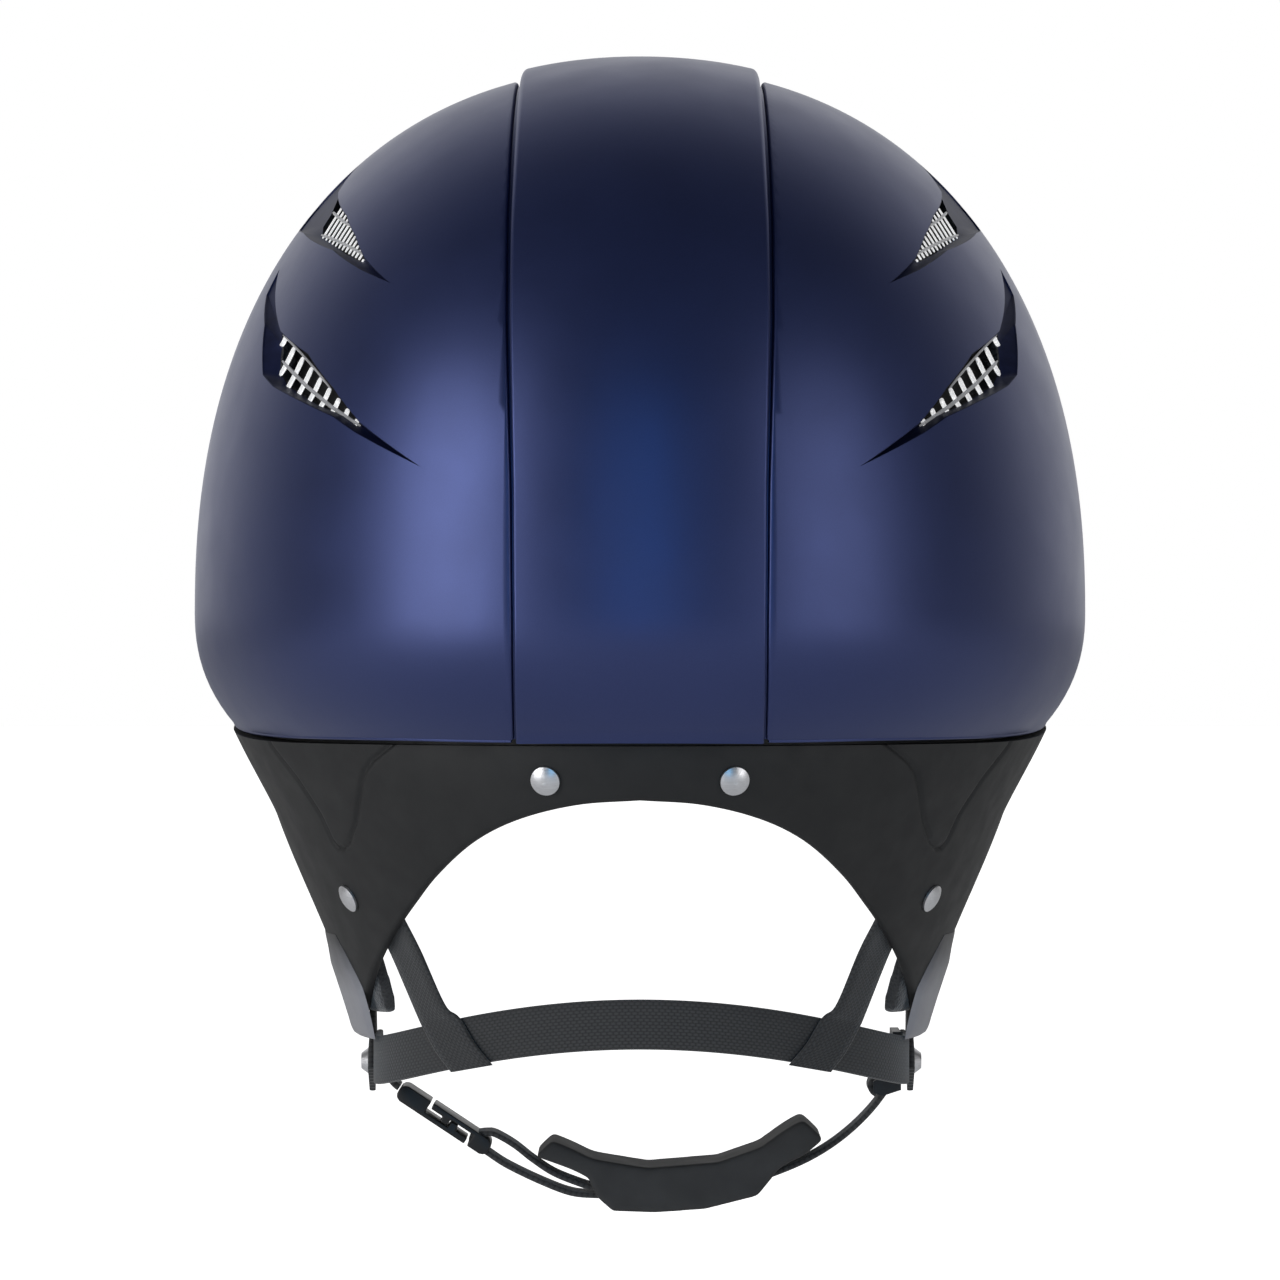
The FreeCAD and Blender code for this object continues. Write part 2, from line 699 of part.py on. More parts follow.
def build_chin_strap():
    """One webbing: round the slide's bar, through the chin pad, round the hook's bar and back."""
    thick, wide, radius = size("chin_webbing_thickness"), size("webbing_width"), size("strap_radius")
    slide_bar, hook_bar = Vec(size("bar_x"), 0, size("bar_z")), in_buckle(HOOK_BAR, 0)
    inner = size("bar_radius") + size("running_clearance")
    aim = heading(SLIDE_HEADING)
    end = slide_bar + Vec(aim.z, 0, -aim.x) * (inner + LOOP_SEAM + thick / 2)
    points = strand_to_hook(HOOK_RING, radius)
    points += [arc_point(lerp(STRAP_ENTRY, STRAP_LEAVE, step / 8), radius) for step in range(8)]
    start, along = arc_point(STRAP_LEAVE, radius), heading(STRAP_LEAVE)
    points += [hermite(start, along * 28, end, aim * 28, step / 4) for step in range(5)]
    tail_radius = radius + size("tail_offset")
    tail = strand_to_hook(-HOOK_RING, tail_radius)
    tail += [arc_point(lerp(STRAP_ENTRY, TAIL_END, step / 3), tail_radius) for step in range(4)]
    slide_loop = loop_ring(slide_bar, inner, thick + 2 * LOOP_SEAM, wide)
    hook_loop = loop_ring(hook_bar, HOOK_RING - thick / 2 - LOOP_SEAM, thick + 2 * LOOP_SEAM, wide)
    open_side = Part.makeBox(10, 40, 20, Vec(0.5, -20, -10))
    open_side.Placement = FreeCAD.Placement(hook_bar, buckle_place().Rotation).multiply(open_side.Placement)
    strap = ribbon(points, thick, wide).fuse([ribbon(tail, thick, wide), slide_loop,
                                              hook_loop.cut(open_side)])
    publish("chin_strap", strap)


def build_chin_pad():
    """Soft sleeve with two raised wings; the strap runs through it along its own arc."""
    outline = [(-25.8, -107.8), (-22.4, -104.7), (-13.4, -108.3), (2, -110.8), (20.1, -109.3),
               (32, -105.2), (41.9, -99.5), (46, -103.4), (42.2, -107.6), (35.6, -111.4),
               (30.2, -118), (16.7, -121.4), (3.8, -122.3), (-7, -121.9), (-10.8, -118.6),
               (-13.5, -113.6)]
    wide = size("chin_pad_width")
    points = [Vec(x, -wide / 2, z) for x, z in outline]
    pad = prism(points, Vec(0, wide, 0))
    radius, tail, thick = size("strap_radius"), size("tail_offset"), size("chin_webbing_thickness")
    centre = Vec(size("strap_centre_x"), 0, size("strap_centre_z"))
    slot = size("webbing_width") + 1
    channel = loop_ring(centre, radius - thick / 2 - 0.4, tail + thick + 0.8, slot)
    publish("chin_pad", max(pad.cut(channel).Solids, key=lambda solid: solid.Volume))


def build_slide():
    """Slide at the right stud: a plate on the stud and two arms that carry the strap's bar."""
    inner, outer = layer(1, 0)
    half = size("slide_width") / 2
    bar_x, bar_z = size("bar_x"), size("bar_z")
    plate = doc.addObject("Part::Box", "SlidePlate")
    plate.setExpression("Length", "Sizes.slide_plate")
    plate.setExpression("Width", "Sizes.slide_width")
    plate.Height = 15
    plate.Placement = FreeCAD.Placement(Vec(inner, -half, -91), FreeCAD.Rotation())
    arm = 2.4
    corners = [(inner, -85.5), (outer, -85.5), (outer, -91), (bar_x + 1, bar_z - 2.2),
               (bar_x - 1.6, bar_z - 1.4), (bar_x - 1.6, bar_z + 1.4)]
    arms = []
    for end, start in (("Rear", -half), ("Front", half - arm)):
        shape = prism([Vec(x, start, z) for x, z in corners], Vec(0, arm, 0))
        arms.append(doc.addObject("Part::Feature", f"SlideArm{end}"))
        arms[-1].Shape = shape
    bar = bound_cylinder("SlideBar", "Sizes.bar_radius", "Sizes.slide_width",
                         FreeCAD.Placement(Vec(bar_x, half, bar_z), FreeCAD.Rotation(UP, Vec(0, -1, 0))))
    whole = doc.addObject("Part::MultiFuse", "SlideWhole")
    whole.Shapes = [plate] + arms + [bar]
    hole = bound_cylinder("SlideHole", "Sizes.stud_radius + Sizes.running_clearance", "Sizes.slide_plate * 3",
                          FreeCAD.Placement(Vec(inner - 2, 0, size("stud_height")),
                                            FreeCAD.Rotation(UP, Vec(1, 0, 0))))
    cut = doc.addObject("Part::Cut", "slide_adjuster_right")
    cut.Label = "slide_adjuster_right"
    cut.Base = whole
    cut.Tool = hole


def build_grilles():
    for vent_name, vent in VENTS.items():
        for name, mirror in SIDES.items():
            publish(f"vent_grille_{vent_name}_{name}", grille(vent, mirror))


build_shell()
build_panel()
build_peak()
build_liner()
build_soft_lining()
build_grilles()
build_cradle()
build_ear_pieces()
build_nape_band()
build_front_straps()
build_rear_straps()
build_studs()
build_chin_tab()
build_buckle()
build_chin_strap()
build_chin_pad()
build_slide()
doc.recompute()

PARTS = ["outer_shell", "crown_panel", "peak", "impact_liner", "headband", "crown_pad", "nape_cradle",
         "cradle_rivets", "nape_band", "chin_tab_left", "buckle_hook_left", "buckle_hook_right",
         "chin_strap", "chin_pad", "slide_adjuster_right"]
PARTS += [f"{stem}_{name}" for name in SIDES
          for stem in ("ear_cover", "ear_pad", "front_strap", "rear_strap", "harness_rivet")]
PARTS += [f"vent_grille_{vent_name}_{name}" for vent_name in VENTS for name in SIDES]

for item in doc.Objects:
    assert "Invalid" not in item.State and "Error" not in item.State, item.Label
os.makedirs("parts", exist_ok=True)
for label in PARTS:
    part = doc.getObjectsByLabel(label)[0]
    assert not part.Shape.isNull() and part.Shape.isValid(), label
    assert part.Shape.Volume > 1, label
    part.Shape.exportStep(f"parts/{label}.step")
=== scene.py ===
import math
import bmesh
import bpy
import numpy as np
from mathutils import Matrix, Vector


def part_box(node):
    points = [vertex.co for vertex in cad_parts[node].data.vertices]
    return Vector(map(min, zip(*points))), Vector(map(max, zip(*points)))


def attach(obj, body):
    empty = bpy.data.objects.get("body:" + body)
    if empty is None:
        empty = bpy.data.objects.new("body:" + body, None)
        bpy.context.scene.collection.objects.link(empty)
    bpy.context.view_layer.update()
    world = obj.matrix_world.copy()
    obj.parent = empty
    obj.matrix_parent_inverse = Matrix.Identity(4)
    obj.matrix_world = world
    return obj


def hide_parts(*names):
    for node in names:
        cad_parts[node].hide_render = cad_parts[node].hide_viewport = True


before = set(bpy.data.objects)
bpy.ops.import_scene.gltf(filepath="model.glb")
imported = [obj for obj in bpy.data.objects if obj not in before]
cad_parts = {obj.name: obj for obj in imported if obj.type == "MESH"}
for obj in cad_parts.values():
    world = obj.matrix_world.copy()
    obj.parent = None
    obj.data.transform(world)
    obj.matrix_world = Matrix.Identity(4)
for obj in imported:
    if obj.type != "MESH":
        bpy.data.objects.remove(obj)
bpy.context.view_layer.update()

# Lengths are in millimetres until a mesh is made; +Z is up and +Y is the wearer's front.
MM = 0.001
SIDES = {"left": -1, "right": 1}

# ---- camera ------------------------------------------------------------------------------

CAMERA_BACK, VIEW_WIDE = 1.5, 0.3319


def link(name, data):
    """A new object in the scene."""
    piece = bpy.data.objects.new(name, data)
    bpy.context.scene.collection.objects.link(piece)
    return piece


camera = link("camera", bpy.data.cameras.new("camera"))
camera.location = (0, -CAMERA_BACK, 0.025)
camera.rotation_euler = (math.pi / 2, 0, 0)
camera.data.sensor_width = 36
camera.data.lens = camera.data.sensor_width * CAMERA_BACK / VIEW_WIDE
camera.data.clip_start = 0.05
camera.data.clip_end = 60
bpy.context.scene.camera = camera
bpy.context.scene.view_settings.view_transform = "Standard"

# ---- materials ---------------------------------------------------------------------------


class Shade:
    """A node material built up by short calls."""

    def __init__(self, name, **inputs):
        self.material = bpy.data.materials.new(name)
        self.material.use_nodes = True
        self.nodes = self.material.node_tree.nodes
        self.links = self.material.node_tree.links
        self.surface = self.nodes["Principled BSDF"]
        for key, value in inputs.items():
            self.surface.inputs[key.replace("_", " ")].default_value = value
        self.place = self.nodes.new("ShaderNodeTexCoord").outputs["Object"]

    def join(self, value, socket):
        if isinstance(value, (int, float)):
            socket.default_value = value
        else:
            self.links.new(value, socket)

    def noise(self, scale, detail=3, place=None):
        node = self.nodes.new("ShaderNodeTexNoise")
        node.inputs["Scale"].default_value = scale
        node.inputs["Detail"].default_value = detail
        self.links.new(place or self.place, node.inputs["Vector"])
        return node.outputs["Fac"]

    def cells(self, scale, output="Distance", feature="F1"):
        node = self.nodes.new("ShaderNodeTexVoronoi")
        node.feature = feature
        node.inputs["Scale"].default_value = scale
        self.links.new(self.place, node.inputs["Vector"])
        return node.outputs[output]

    def math(self, operation, first, second=0.0):
        node = self.nodes.new("ShaderNodeMath")
        node.operation = operation
        self.join(first, node.inputs[0])
        self.join(second, node.inputs[1])
        return node.outputs[0]

    def span(self, value, low, high, to_low, to_high):
        node = self.nodes.new("ShaderNodeMapRange")
        self.join(value, node.inputs["Value"])
        for key, number in (("From Min", low), ("From Max", high), ("To Min", to_low), ("To Max", to_high)):
            node.inputs[key].default_value = number
        return node.outputs["Result"]

    def drift(self, scale, detail, low, high):
        """A noise spread evenly between two values."""
        return self.span(self.noise(scale, detail), 0.3, 0.7, low, high)

    def blend(self, share, first, second):
        node = self.nodes.new("ShaderNodeMix")
        node.data_type = "RGBA"
        self.join(share, node.inputs["Factor"])
        node.inputs[6].default_value = (*first, 1)
        node.inputs[7].default_value = (*second, 1)
        return node.outputs[2]

    def bump(self, height, depth, strength=1.0, below=None):
        node = self.nodes.new("ShaderNodeBump")
        node.inputs["Strength"].default_value = strength
        node.inputs["Distance"].default_value = depth
        self.links.new(height, node.inputs["Height"])
        if below:
            self.links.new(below, node.inputs["Normal"])
        return node.outputs["Normal"]

    def set(self, key, value):
        self.join(value, self.surface.inputs[key])

    def axis(self, source, index):
        node = self.nodes.new("ShaderNodeSeparateXYZ")
        self.links.new(source, node.inputs[0])
        return node.outputs[index]


def shell_paint():
    """Satin navy with a fine metallic flake."""
    shade = Shade("satin_navy", Metallic=0.8, Roughness=0.4, IOR=1.5, Coat_Weight=0.34, Coat_Roughness=0.38)
    flake = shade.cells(5200, "Color")
    level = shade.span(flake, 0, 1, -0.5, 0.5)
    share = shade.math("ADD", shade.drift(14, 2, 0.38, 0.62), shade.math("MULTIPLY", level, 0.3))
    shade.set("Base Color", shade.blend(share, (0.026, 0.038, 0.125), (0.040, 0.058, 0.185)))
    shade.set("Roughness", shade.drift(60, 4, 0.37, 0.43))
    fine = shade.bump(shade.noise(5200, 1), 0.00002, 0.35)
    shade.set("Normal", shade.bump(shade.noise(420, 2), 0.00003, 0.25, fine))
    return shade.material


def shaded_recess_paint():
    """Navy inside the vent scoops, duller, and darker than the shell as painted shade."""
    shade = Shade("recess_navy_shaded", Metallic=0.45, Roughness=0.5, IOR=1.4)
    share = shade.drift(220, 4, 0, 1)
    # Darker navy than the shell's paint: painted shade in the recess.
    shade.set("Base Color", shade.blend(share, (0.008, 0.012, 0.046), (0.014, 0.020, 0.072)))
    shade.set("Normal", shade.bump(shade.noise(1500, 3), 0.00003, 0.4))
    return shade.material


def moulded(name, low, high, roughness, grain=2600, depth=0.00004):
    """Moulded plastic with a fine spark-eroded grain and slight wear in its gloss."""
    shade = Shade(name, Metallic=0.0, IOR=1.46)
    tone = shade.span(shade.noise(90, 4), 0.35, 0.65, 0, 1)
    shade.set("Base Color", shade.blend(tone, low, high))
    shade.set("Roughness", shade.drift(140, 5, roughness - 0.05, roughness + 0.06))
    shade.set("Normal", shade.bump(shade.noise(grain, 3), depth, 0.5))
    return shade.material


def ear_cover_paint():
    """Satin grey moulding; the fade to near black where it runs up into the cradle is painted shade."""
    shade = Shade("ear_cover_grey", Roughness=0.42, IOR=1.46)
    # Darker towards the top and grey towards the foot: painted shade over the moulding's own grey.
    painted_shade = shade.span(shade.axis(shade.place, 2), -0.050, -0.066, 0, 1)
    share = shade.math("ADD", painted_shade, shade.drift(160, 4, -0.08, 0.08))
    shade.set("Base Color", shade.blend(share, (0.020, 0.020, 0.022), (0.27, 0.27, 0.295)))
    shade.set("Normal", shade.bump(shade.noise(2600, 3), 0.00004, 0.4))
    return shade.material


def webbing_weave(name, low, high):
    """Woven webbing; its UV map holds millimetres along and across the strap."""
    column_wide, pick_long = 0.8, 1.5
    shade = Shade(name, Roughness=0.78, IOR=1.4, Sheen_Weight=0.25, Sheen_Roughness=0.5)
    flat = shade.nodes.new("ShaderNodeUVMap").outputs["UV"]
    along, across = shade.axis(flat, 0), shade.axis(flat, 1)
    column = shade.math("FLOOR", shade.math("DIVIDE", across, column_wide))
    offset = shade.math("MULTIPLY", shade.math("MODULO", shade.math("ADD", column, 64), 2), 0.5)
    turn = shade.math("ADD", shade.math("DIVIDE", along, pick_long), offset)
    pick = shade.math("ABSOLUTE", shade.math("SINE", shade.math("MULTIPLY", turn, math.pi)))
    warp = shade.math("ABSOLUTE", shade.math("SINE", shade.math("MULTIPLY", across, math.pi / column_wide)))
    weave = shade.math("MULTIPLY", shade.math("POWER", pick, 0.6), shade.math("POWER", warp, 0.5))
    fuzz = shade.noise(2400, 3)
    height = shade.math("ADD", weave, shade.math("MULTIPLY", fuzz, 0.35))
    # Lighter on the raised yarns and darker in the hollows between them: painted shade, with a random fuzz
    # in the tone.
    shade.set("Base Color", shade.blend(shade.span(height, 0.1, 1.1, 0, 1), low, high))
    shade.set("Normal", shade.bump(height, 0.00014, 0.7))
    return shade.material


def foam_paint():
    """Moulded bead foam."""
    shade = Shade("bead_foam", Roughness=0.86, IOR=1.4)
    edge = shade.cells(330, feature="DISTANCE_TO_EDGE")
    bead = shade.span(edge, 0.0, 0.12, 0, 1)
    # Darker along the sunken seams between beads: painted shade.
    shade.set("Base Color", shade.blend(bead, (0.014, 0.014, 0.016), (0.045, 0.046, 0.05)))
    shade.set("Normal", shade.bump(bead, 0.0003, 0.6))
    return shade.material


def knit_paint(name, low, high):
    """Brushed knit lining."""
    shade = Shade(name, Roughness=0.92, IOR=1.4, Sheen_Weight=0.5, Sheen_Roughness=0.6)
    loops = shade.cells(1250)
    fuzz = shade.noise(1900, 4)
    height = shade.math("ADD", loops, shade.math("MULTIPLY", fuzz, 0.6))
    # Darker where the knit's height is low: painted shade in its hollows, with a random fuzz in the tone.
    shade.set("Base Color", shade.blend(shade.span(height, 0.2, 1.0, 0, 1), low, high))
    shade.set("Normal", shade.bump(height, 0.0003, 0.7))
    return shade.material


def steel(name, tint, roughness, streak=0.06, metal=1.0, painted_glow=0.0):
    """Brushed steel, with streaks along X; painted_glow is emission, a painted light that brightens it."""
    shade = Shade(name, Metallic=metal, Emission_Color=(1, 1, 1, 1), Emission_Strength=painted_glow)
    stretch = shade.nodes.new("ShaderNodeMapping")
    stretch.inputs["Scale"].default_value = (0.12, 1, 1)
    shade.links.new(shade.place, stretch.inputs["Vector"])
    lines = shade.noise(2600, 4, stretch.outputs["Vector"])
    shade.set("Base Color", shade.blend(shade.span(lines, 0.3, 0.7, 0, 1), [0.86 * c for c in tint], tint))
    shade.set("Roughness", shade.span(lines, 0.3, 0.7, roughness - streak, roughness + streak))
    shade.set("Normal", shade.bump(lines, 0.00002, 0.25))
    return shade.material


def plain(name, colour, roughness):
    """Dull even surface with a faint mottle."""
    shade = Shade(name, Roughness=roughness)
    shade.set("Base Color", shade.blend(shade.drift(300, 3, 0, 1), [0.8 * c for c in colour], colour))
    return shade.material


NAVY = shell_paint()
SHADED_RECESS = shaded_recess_paint()
CRADLE = moulded("cradle_black", (0.0085, 0.0085, 0.009), (0.0105, 0.0105, 0.011), 0.6)
BUCKLE = moulded("buckle_black", (0.007, 0.007, 0.0075), (0.011, 0.011, 0.0115), 0.42)
PAD = moulded("chin_pad_rubber", (0.027, 0.027, 0.0275), (0.034, 0.034, 0.0345), 0.74, 1700, 0.00008)
EAR = ear_cover_paint()
WEBBING = webbing_weave("webbing_black", (0.014, 0.014, 0.0145), (0.050, 0.050, 0.051))
THREAD = plain("stitch_thread", (0.05, 0.05, 0.053), 0.6)
FOAM = foam_paint()
LINING = knit_paint("lining_black", (0.006, 0.006, 0.007), (0.022, 0.022, 0.024))
STEEL = steel("stud_steel", (0.72, 0.72, 0.74), 0.36)
# The vent mesh bars glow and their ribs glow less: painted light that brightens them.
MESH = steel("mesh_silver", (0.98, 0.98, 0.98), 0.34, metal=0.35, painted_glow=0.3)
RIB = steel("mesh_rib", (0.62, 0.62, 0.64), 0.36, metal=0.5, painted_glow=0.08)
# Near-black boxes behind the vent meshes are painted shadow.
VENT_SHADOW = plain("vent_shadow_black", (0.004, 0.004, 0.005), 0.7)

# ---- mesh tools ------------------------------------------------------------------------------


def make(name, verts, faces, material, body=None, slot=None, stands_for=(), uv=None, sharp=35):
    """An object from millimetre points, riding on a body."""
    mesh = bpy.data.meshes.new(name)
    mesh.from_pydata([tuple(float(c) * MM for c in v) for v in verts], [], faces)
    if uv is not None:
        layer = mesh.uv_layers.new(name="UVMap")
        corner = np.zeros(len(mesh.loops), dtype=np.int32)
        mesh.loops.foreach_get("vertex_index", corner)
        layer.data.foreach_set("uv", np.asarray(uv, dtype=np.float32)[corner].ravel())
    finish_mesh(mesh, material, sharp)
    piece = link(name, mesh)
    if body:
        enter(piece, body, stands_for)
    return piece


def finish_mesh(mesh, material, sharp):
    mesh.materials.clear()
    mesh.materials.append(material)
    mesh.update()
    mesh.shade_smooth()
    mesh.set_sharp_from_angle(angle=math.radians(sharp))


def enter(piece, body, stands_for=()):
    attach(piece, body)
    if stands_for:
        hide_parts(*stands_for)


class Parts:
    """Gathers several grids into one mesh."""

    def __init__(self):
        self.verts, self.faces = [], []

    def grid(self, points, closed=False, flip=False):
        points = np.asarray(points, float)
        rows, columns = points.shape[:2]
        start = len(self.verts)
        for row in range(start, start + (rows - 1) * columns, columns):
            for column in range(columns if closed else columns - 1):
                after = (column + 1) % columns
                quad = (row + column, row + after, row + columns + after, row + columns + column)
                self.faces.append(quad[::-1] if flip else quad)
        self.verts += [tuple(p) for p in points.reshape(-1, 3)]

    def mesh(self, verts, faces, flip=False):
        start = len(self.verts)
        self.verts += [tuple(v) for v in verts]
        for face in faces:
            ring = [start + index for index in face]
            self.faces.append(ring[::-1] if flip else ring)


def applied(piece):
    """The piece with its modifiers applied."""
    bpy.context.view_layer.update()
    graph = bpy.context.evaluated_depsgraph_get()
    mesh = bpy.data.meshes.new_from_object(piece.evaluated_get(graph))
    piece.modifiers.clear()
    piece.data = mesh
    return piece


def read_points(mesh, key="co"):
    values = np.zeros(len(mesh.vertices) * 3)
    mesh.vertices.foreach_get(key, values)
    return values.reshape(-1, 3)


def write_points(mesh, points):
    mesh.vertices.foreach_set("co", points.ravel())
    mesh.update()


def face_outward(mesh):
    bm = bmesh.new()
    bm.from_mesh(mesh)
    bmesh.ops.recalc_face_normals(bm, faces=bm.faces)
    bm.to_mesh(mesh)
    bm.free()


def bevelled(piece, width, angle):
    edge = piece.modifiers.new("edges", "BEVEL")
    edge.width, edge.segments, edge.limit_method = width * MM, 3, "ANGLE"
    edge.angle_limit = math.radians(angle)
    return edge


def remeshed(node, name, voxel, rounding=0):
    """A copy of a CAD node as an even mesh, smoothed a number of times."""
    piece = link(name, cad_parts[node].data.copy())
    remesh = piece.modifiers.new("remesh", "REMESH")
    remesh.mode, remesh.voxel_size = "VOXEL", voxel * MM
    if rounding:
        smooth = piece.modifiers.new("round", "SMOOTH")
        smooth.factor, smooth.iterations = 0.5, rounding
    return applied(piece)


def unit(vector):
    vector = np.asarray(vector, float)
    return vector / np.linalg.norm(vector, axis=-1, keepdims=True)


def lerp(a, b, share):
    return a + (b - a) * share


def ease(share):
    """Smooth step from 0 to 1."""
    return share * share * (3 - 2 * share)


def smooth_path(points, count):
    """Evenly sampled Catmull-Rom curve through points of any dimension."""
    points = np.asarray(points, float)
    padded = np.vstack([2 * points[0] - points[1], points, 2 * points[-1] - points[-2]])
    result = []
    for place in np.linspace(0, len(points) - 1, count):
        index = min(int(place), len(points) - 2)
        t = place - index
        a, b, c, d = padded[index:index + 4]
        result.append(0.5 * (2 * b + (c - a) * t + (2 * a - 5 * b + 4 * c - d) * t**2
                             + (3 * b - a - 3 * c + d) * t**3))
    return np.array(result)


# ---- the dome form ---------------------------------------------------------------------------

# Half width, top, height of the widest section, depth of the tuck below it, roundness, length to width.
HALF_WIDTH, TOP, WIDEST, TUCK, POWER, RATIO = 115, 172.4, 32, 60, 2.25, 1.165
PANEL_TOP = 175.2
SEAM_X = 31.5
RIM_RADIUS, RIM_START = 817, -70


def form_radius(z):
    z = np.asarray(z, float)
    reach = np.where(z > WIDEST, TOP - WIDEST, TUCK)
    share = np.minimum(np.abs(z - WIDEST) / reach, 1)
    return HALF_WIDTH * (1 - share**POWER) ** (1 / POWER)


def rim_height(y):
    """The rim is level behind and rises to the brow."""
    ahead = np.maximum(np.asarray(y, float) - RIM_START, 0)
    return RIM_RADIUS - np.sqrt(RIM_RADIUS**2 - ahead**2)


def on_form(turn, z):
    """Point at a turn in degrees from the rear, to the left when positive."""
    radius, angle = form_radius(z), np.radians(turn)
    return np.stack([-radius * np.sin(angle), -RATIO * radius * np.cos(angle),
                     np.broadcast_to(z, np.shape(radius * angle))], -1)


def form_normal(points, top=TOP):
    """Outward direction of the form's level surfaces."""
    x, y, z = points[..., 0], points[..., 1] / RATIO, points[..., 2]
    flat = np.maximum(np.hypot(x, y), 1e-6)
    reach = np.where(z > WIDEST, top - WIDEST, TUCK)
    rise = np.abs(z - WIDEST) / reach
    around = (flat / HALF_WIDTH) ** (POWER - 1) / HALF_WIDTH / flat
    upward = rise ** (POWER - 1) / reach * np.sign(z - WIDEST)
    return unit(np.stack([around * x, around * y / RATIO, upward], -1))


def seam_shift(z):
    """The crown panel's edges bow out at mid height and draw in towards the rim."""
    return np.interp(z, [0, 30, 61, 102, 126, 150, 172], [-1.3, -1.2, -0.8, 0.7, 0.8, 0.3, -0.3])


# How far beside a seam its bow still moves the skin.
BOW_REACH = 28


def bow_seam(points):
    """Slides points near the seams along the form, so that both seam edges bow alike."""
    side = np.sign(points[..., 0])
    near = np.clip(1 - (np.abs(points[..., 0]) - SEAM_X) / BOW_REACH, 0, 1)
    inside = np.clip(np.abs(points[..., 0]) / SEAM_X, 0, 1)
    shift = side * seam_shift(points[..., 2]) * np.minimum(ease(near), inside)
    normal = form_normal(points)
    slide = np.zeros_like(points)
    slide[..., 0] = shift
    return points + slide - normal * (slide * normal).sum(-1, keepdims=True)


# ---- vents -----------------------------------------------------------------------------------

# Recess outline (turn from the rear, height) on the form, paired with the mesh's outline (x, z).
UPPER = {
    "recess": [(78.4, 147.3), (71.6, 140.9), (69.6, 138.6), (56.6, 131.1), (50.1, 125.2), (45.0, 118.9),
               (37.7, 111.9), (44.9, 115.9), (54.4, 121.8), (72.1, 128.3), (82, 130.2), (84, 136.5)],
    "mesh": [(-76.4, 138.2), (-76.3, 137.7), (-76.0, 137.0), (-73.3, 131.1), (-70.4, 124.9), (-68.0, 119.1),
             (-67.9, 118.6), (-68.9, 118.3), (-73.1, 120.9), (-80.1, 126.8), (-80.1, 129.4), (-78.2, 132.8)],
    "plane": [(-76.3, -29.5, 137.6), (-68.0, -73, 119.1), (-80.1, -41.5, 126.8)],
}
LOWER = {
    "recess": [(73.4, 119.2), (59.6, 101.9), (50.4, 95.5), (43.6, 86.8), (37.7, 77.7), (27.7, 66.4),
               (38.3, 75.2), (42.5, 79.2), (49.2, 83.3), (57.1, 87.8), (60.9, 91.0), (66.5, 104.1),
               (72.9, 112.4)],
    "mesh": [(-89.3, 102.1), (-88.9, 101.0), (-81.7, 95.5), (-74.9, 86.8), (-67.8, 77.4), (-67.5, 77.0),
             (-68.4, 77.0), (-71.6, 79.5), (-79.5, 82.9), (-87.5, 88.1), (-88.8, 90.5), (-89.2, 98.2),
             (-89.4, 100.4)],
    "plane": [(-89.1, -54, 101.3), (-67.8, -96.5, 77.4), (-88.2, -64.5, 88.4)],
}


def plane_depth(plane, x, z):
    """Y of the plane through three points, at an x and z."""
    a, b, c = (np.array(p, float) for p in plane)
    normal = np.cross(b - a, c - a)
    return a[1] - (normal[0] * (x - a[0]) + normal[2] * (z - a[2])) / normal[1]


def dense_ring(points, spacing):
    """A closed ring with points added along its edges."""
    rows = []
    for start, end in zip(points, np.roll(points, -1, axis=0)):
        count = max(1, int(np.linalg.norm(end - start) / spacing))
        rows += [lerp(start, end, step / count) for step in range(count)]
    return np.array(rows)


# Rough arc length of a degree of turn on the form, and the turn that carries the front vents round.
DEGREE_LONG, FORWARD_TURN = 1.9, 15.5


class Vent:
    """One recess on the left: its outline on the form, and the mesh's outline point for point with it."""

    def __init__(self, outline, forward=False):
        recess, mesh = np.array(outline["recess"], float), np.array(outline["mesh"], float)
        ring = dense_ring(np.hstack([recess * [DEGREE_LONG, 1], mesh]), 1.2)
        x, z = ring[:, 2], ring[:, 3]
        self.floor = np.stack([x, plane_depth(outline["plane"], x, z), z], -1)
        self.top = on_form(ring[:, 0] / DEGREE_LONG, ring[:, 1])
        if forward:
            self.top, self.floor = self.ahead(self.top), self.ahead(self.floor)
        self.centre = self.floor.mean(0)
        self.out = unit(form_normal(self.top.mean(0)[None])[0])
        first = unit(np.cross(self.out, [0, 0, 1]))
        self.axes = np.stack([first, np.cross(self.out, first)])

    @staticmethod
    def ahead(points):
        """Turns rear points about Z to the place of the forward pair, mirrored front to back."""
        angle = math.radians(FORWARD_TURN)
        x, y, z = points[:, 0], -points[:, 1] / RATIO, points[:, 2]
        turned_x = x * math.cos(angle) - y * math.sin(angle)
        turned_y = x * math.sin(angle) + y * math.cos(angle)
        return np.stack([turned_x, turned_y * RATIO, z], -1)

    def flat(self, points):
        return (np.asarray(points, float) - self.centre) @ self.axes.T


def inside_ring(points, ring):
    """Which flat points lie inside a closed flat ring."""
    result = np.zeros(len(points), bool)
    for (x0, y0), (x1, y1) in zip(ring, np.roll(ring, -1, axis=0)):
        crosses = (y0 > points[:, 1]) != (y1 > points[:, 1])
        with np.errstate(divide="ignore", invalid="ignore"):
            reach = x0 + (points[:, 1] - y0) * (x1 - x0) / (y1 - y0)
        result ^= crosses & (points[:, 0] < reach)
    return result


